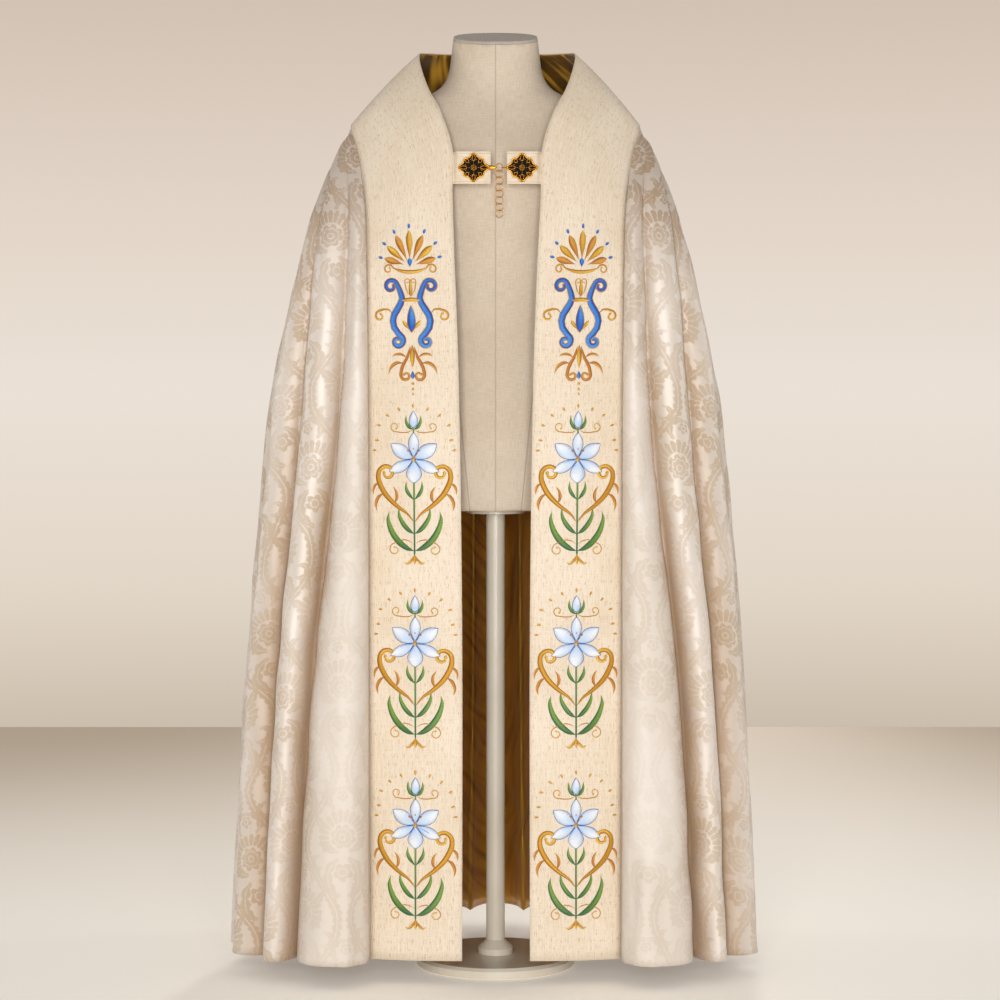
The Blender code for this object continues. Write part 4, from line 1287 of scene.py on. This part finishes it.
FORM_FINISHES = {
    "form_torso": form_finish("form_linen", srgb(224, 209, 190), srgb(208, 190, 167), True),
    "form_cap": form_finish("cap_linen", srgb(196, 186, 174), srgb(178, 166, 152), False),
}
SHARP_ANGLE = math.radians(45)
for name, finish in FORM_FINISHES.items():
    mesh = bmesh.new()
    mesh.from_mesh(nodes[name].data)
    bmesh.ops.remove_doubles(mesh, verts=mesh.verts, dist=1e-6)
    bmesh.ops.recalc_face_normals(mesh, faces=mesh.faces)
    bmesh.ops.join_triangles(mesh, faces=mesh.faces, angle_face_threshold=0.3, angle_shape_threshold=0.7)
    creases = mesh.edges.layers.float.new("crease_edge")
    for edge in mesh.edges:
        edge[creases] = 0.9 if edge.calc_face_angle(0) > SHARP_ANGLE else 0.0
    cover = make_piece(name + "_cover", mesh, finish)
    rounded = cover.modifiers.new("rounded", "SUBSURF")
    rounded.levels = rounded.render_levels = 2
    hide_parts(name)
    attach(cover, "root")

painted, shader, start = new_finish("cream_paint", Roughness=0.35, Coat_Weight=0.3)
place = start.object_place()
orange_peel = start.noise(place, 420.0, 2.0)
dusty = start.noise(place, 6.0, 3.0)
paint = start.mix(dusty.step(0.35, 0.65), srgb(214, 204, 186), srgb(224, 215, 198))
wire_up(shader, start, Base_Color=paint, Normal=start.bump(orange_peel, 0.0002, 0.3))
for name in ("stand_pole", "stand_base"):
    nodes[name].data.materials.clear()
    nodes[name].data.materials.append(painted)


# Stage: a pale floor before a plain warm backdrop, in soft studio light.
FLOOR_HALF_WIDTH = 9.0
FLOOR_FRONT = -9.0
FLOOR_BACK = 3.2
bpy.ops.mesh.primitive_plane_add(size=1)
floor = bpy.context.object
floor.name = "floor"
for vert in floor.data.vertices:
    vert.co.x = math.copysign(FLOOR_HALF_WIDTH, vert.co.x)
    vert.co.y = FLOOR_BACK if vert.co.y > 0 else FLOOR_FRONT
# The floor glows a little in its own colour, painted light, and darkens towards the back, painted shade.
floor_finish, shader, start = new_finish("pale_floor", Roughness=0.85, Emission_Strength=0.24)
depth = start.object_place().split()[1]
floor_shade = start.mix(depth.step(0.0, FLOOR_BACK), srgb(247, 241, 231), srgb(216, 199, 178))
wire_up(shader, start, Base_Color=floor_shade, Emission_Color=floor_shade)
floor.data.materials.append(floor_finish)

AMBIENT = (0.33, 0.31, 0.29)
# Backdrop seen only by the camera, painted lighter at eye level as a pool of light; other rays see
# AMBIENT.
BACKDROP = (
    # height of the line of sight, 0.5 is level, and the colour there
    (0.437, srgb(203, 189, 172)),
    (0.462, srgb(226, 214, 199)),
    (0.498, srgb(235, 225, 214)),
    (0.530, srgb(227, 213, 200)),
    (0.570, srgb(209, 193, 178)),
)
world = bpy.data.worlds.new("studio")
world.use_nodes = True
air = Socket(world.node_tree)
sight = air.node("ShaderNodeTexCoord")
height = sight.split()[2] * 0.5 + 0.5
backdrop = air.node("ShaderNodeValToRGB", (), {0: height})
ramp = backdrop.output.node.color_ramp.elements
while len(ramp) < len(BACKDROP):
    ramp.new(0.5)
for stop, (position, colour) in zip(ramp, BACKDROP):
    stop.position = position
    stop.color = (*colour, 1)
seen = air.node("ShaderNodeLightPath")
lit = air.mix(seen, AMBIENT, backdrop)
air.tree.links.new(lit.output, world.node_tree.nodes["Background"].inputs["Color"])
bpy.context.scene.world = world
bpy.context.scene.view_settings.view_transform = "Standard"
LIGHTS = (
    # name, place, height it is aimed at, watts
    ("key", (-0.50, -4.8, 1.30), 0.86, 17.5),
    ("fill", (0.60, -4.8, 1.05), 0.75, 11),
    ("side_left", (-4.0, 1.0, 1.5), 0.8, 5.0),
    ("side_right", (4.0, 1.0, 1.5), 0.8, 5.0),
    ("back", (0.8, 4.6, 1.5), 0.8, 17),
)
LIGHT_SIZE = (0.7, 2.0)  # across and up
LIGHT_SPREAD = math.radians(80)  # keeps the lamps' light off the floor beside them
for name, place, aim_z, watts in LIGHTS:
    data = bpy.data.lights.new(name, "AREA")
    data.shape = "RECTANGLE"
    data.size, data.size_y = LIGHT_SIZE
    data.energy = watts
    data.spread = LIGHT_SPREAD
    lamp = bpy.data.objects.new(name, data)
    lamp.location = place
    way = Vector((0, 0, aim_z)) - Vector(place)
    lamp.rotation_euler = way.to_track_quat("-Z", "Y").to_euler()
    lamp.visible_camera = False
    link(lamp)
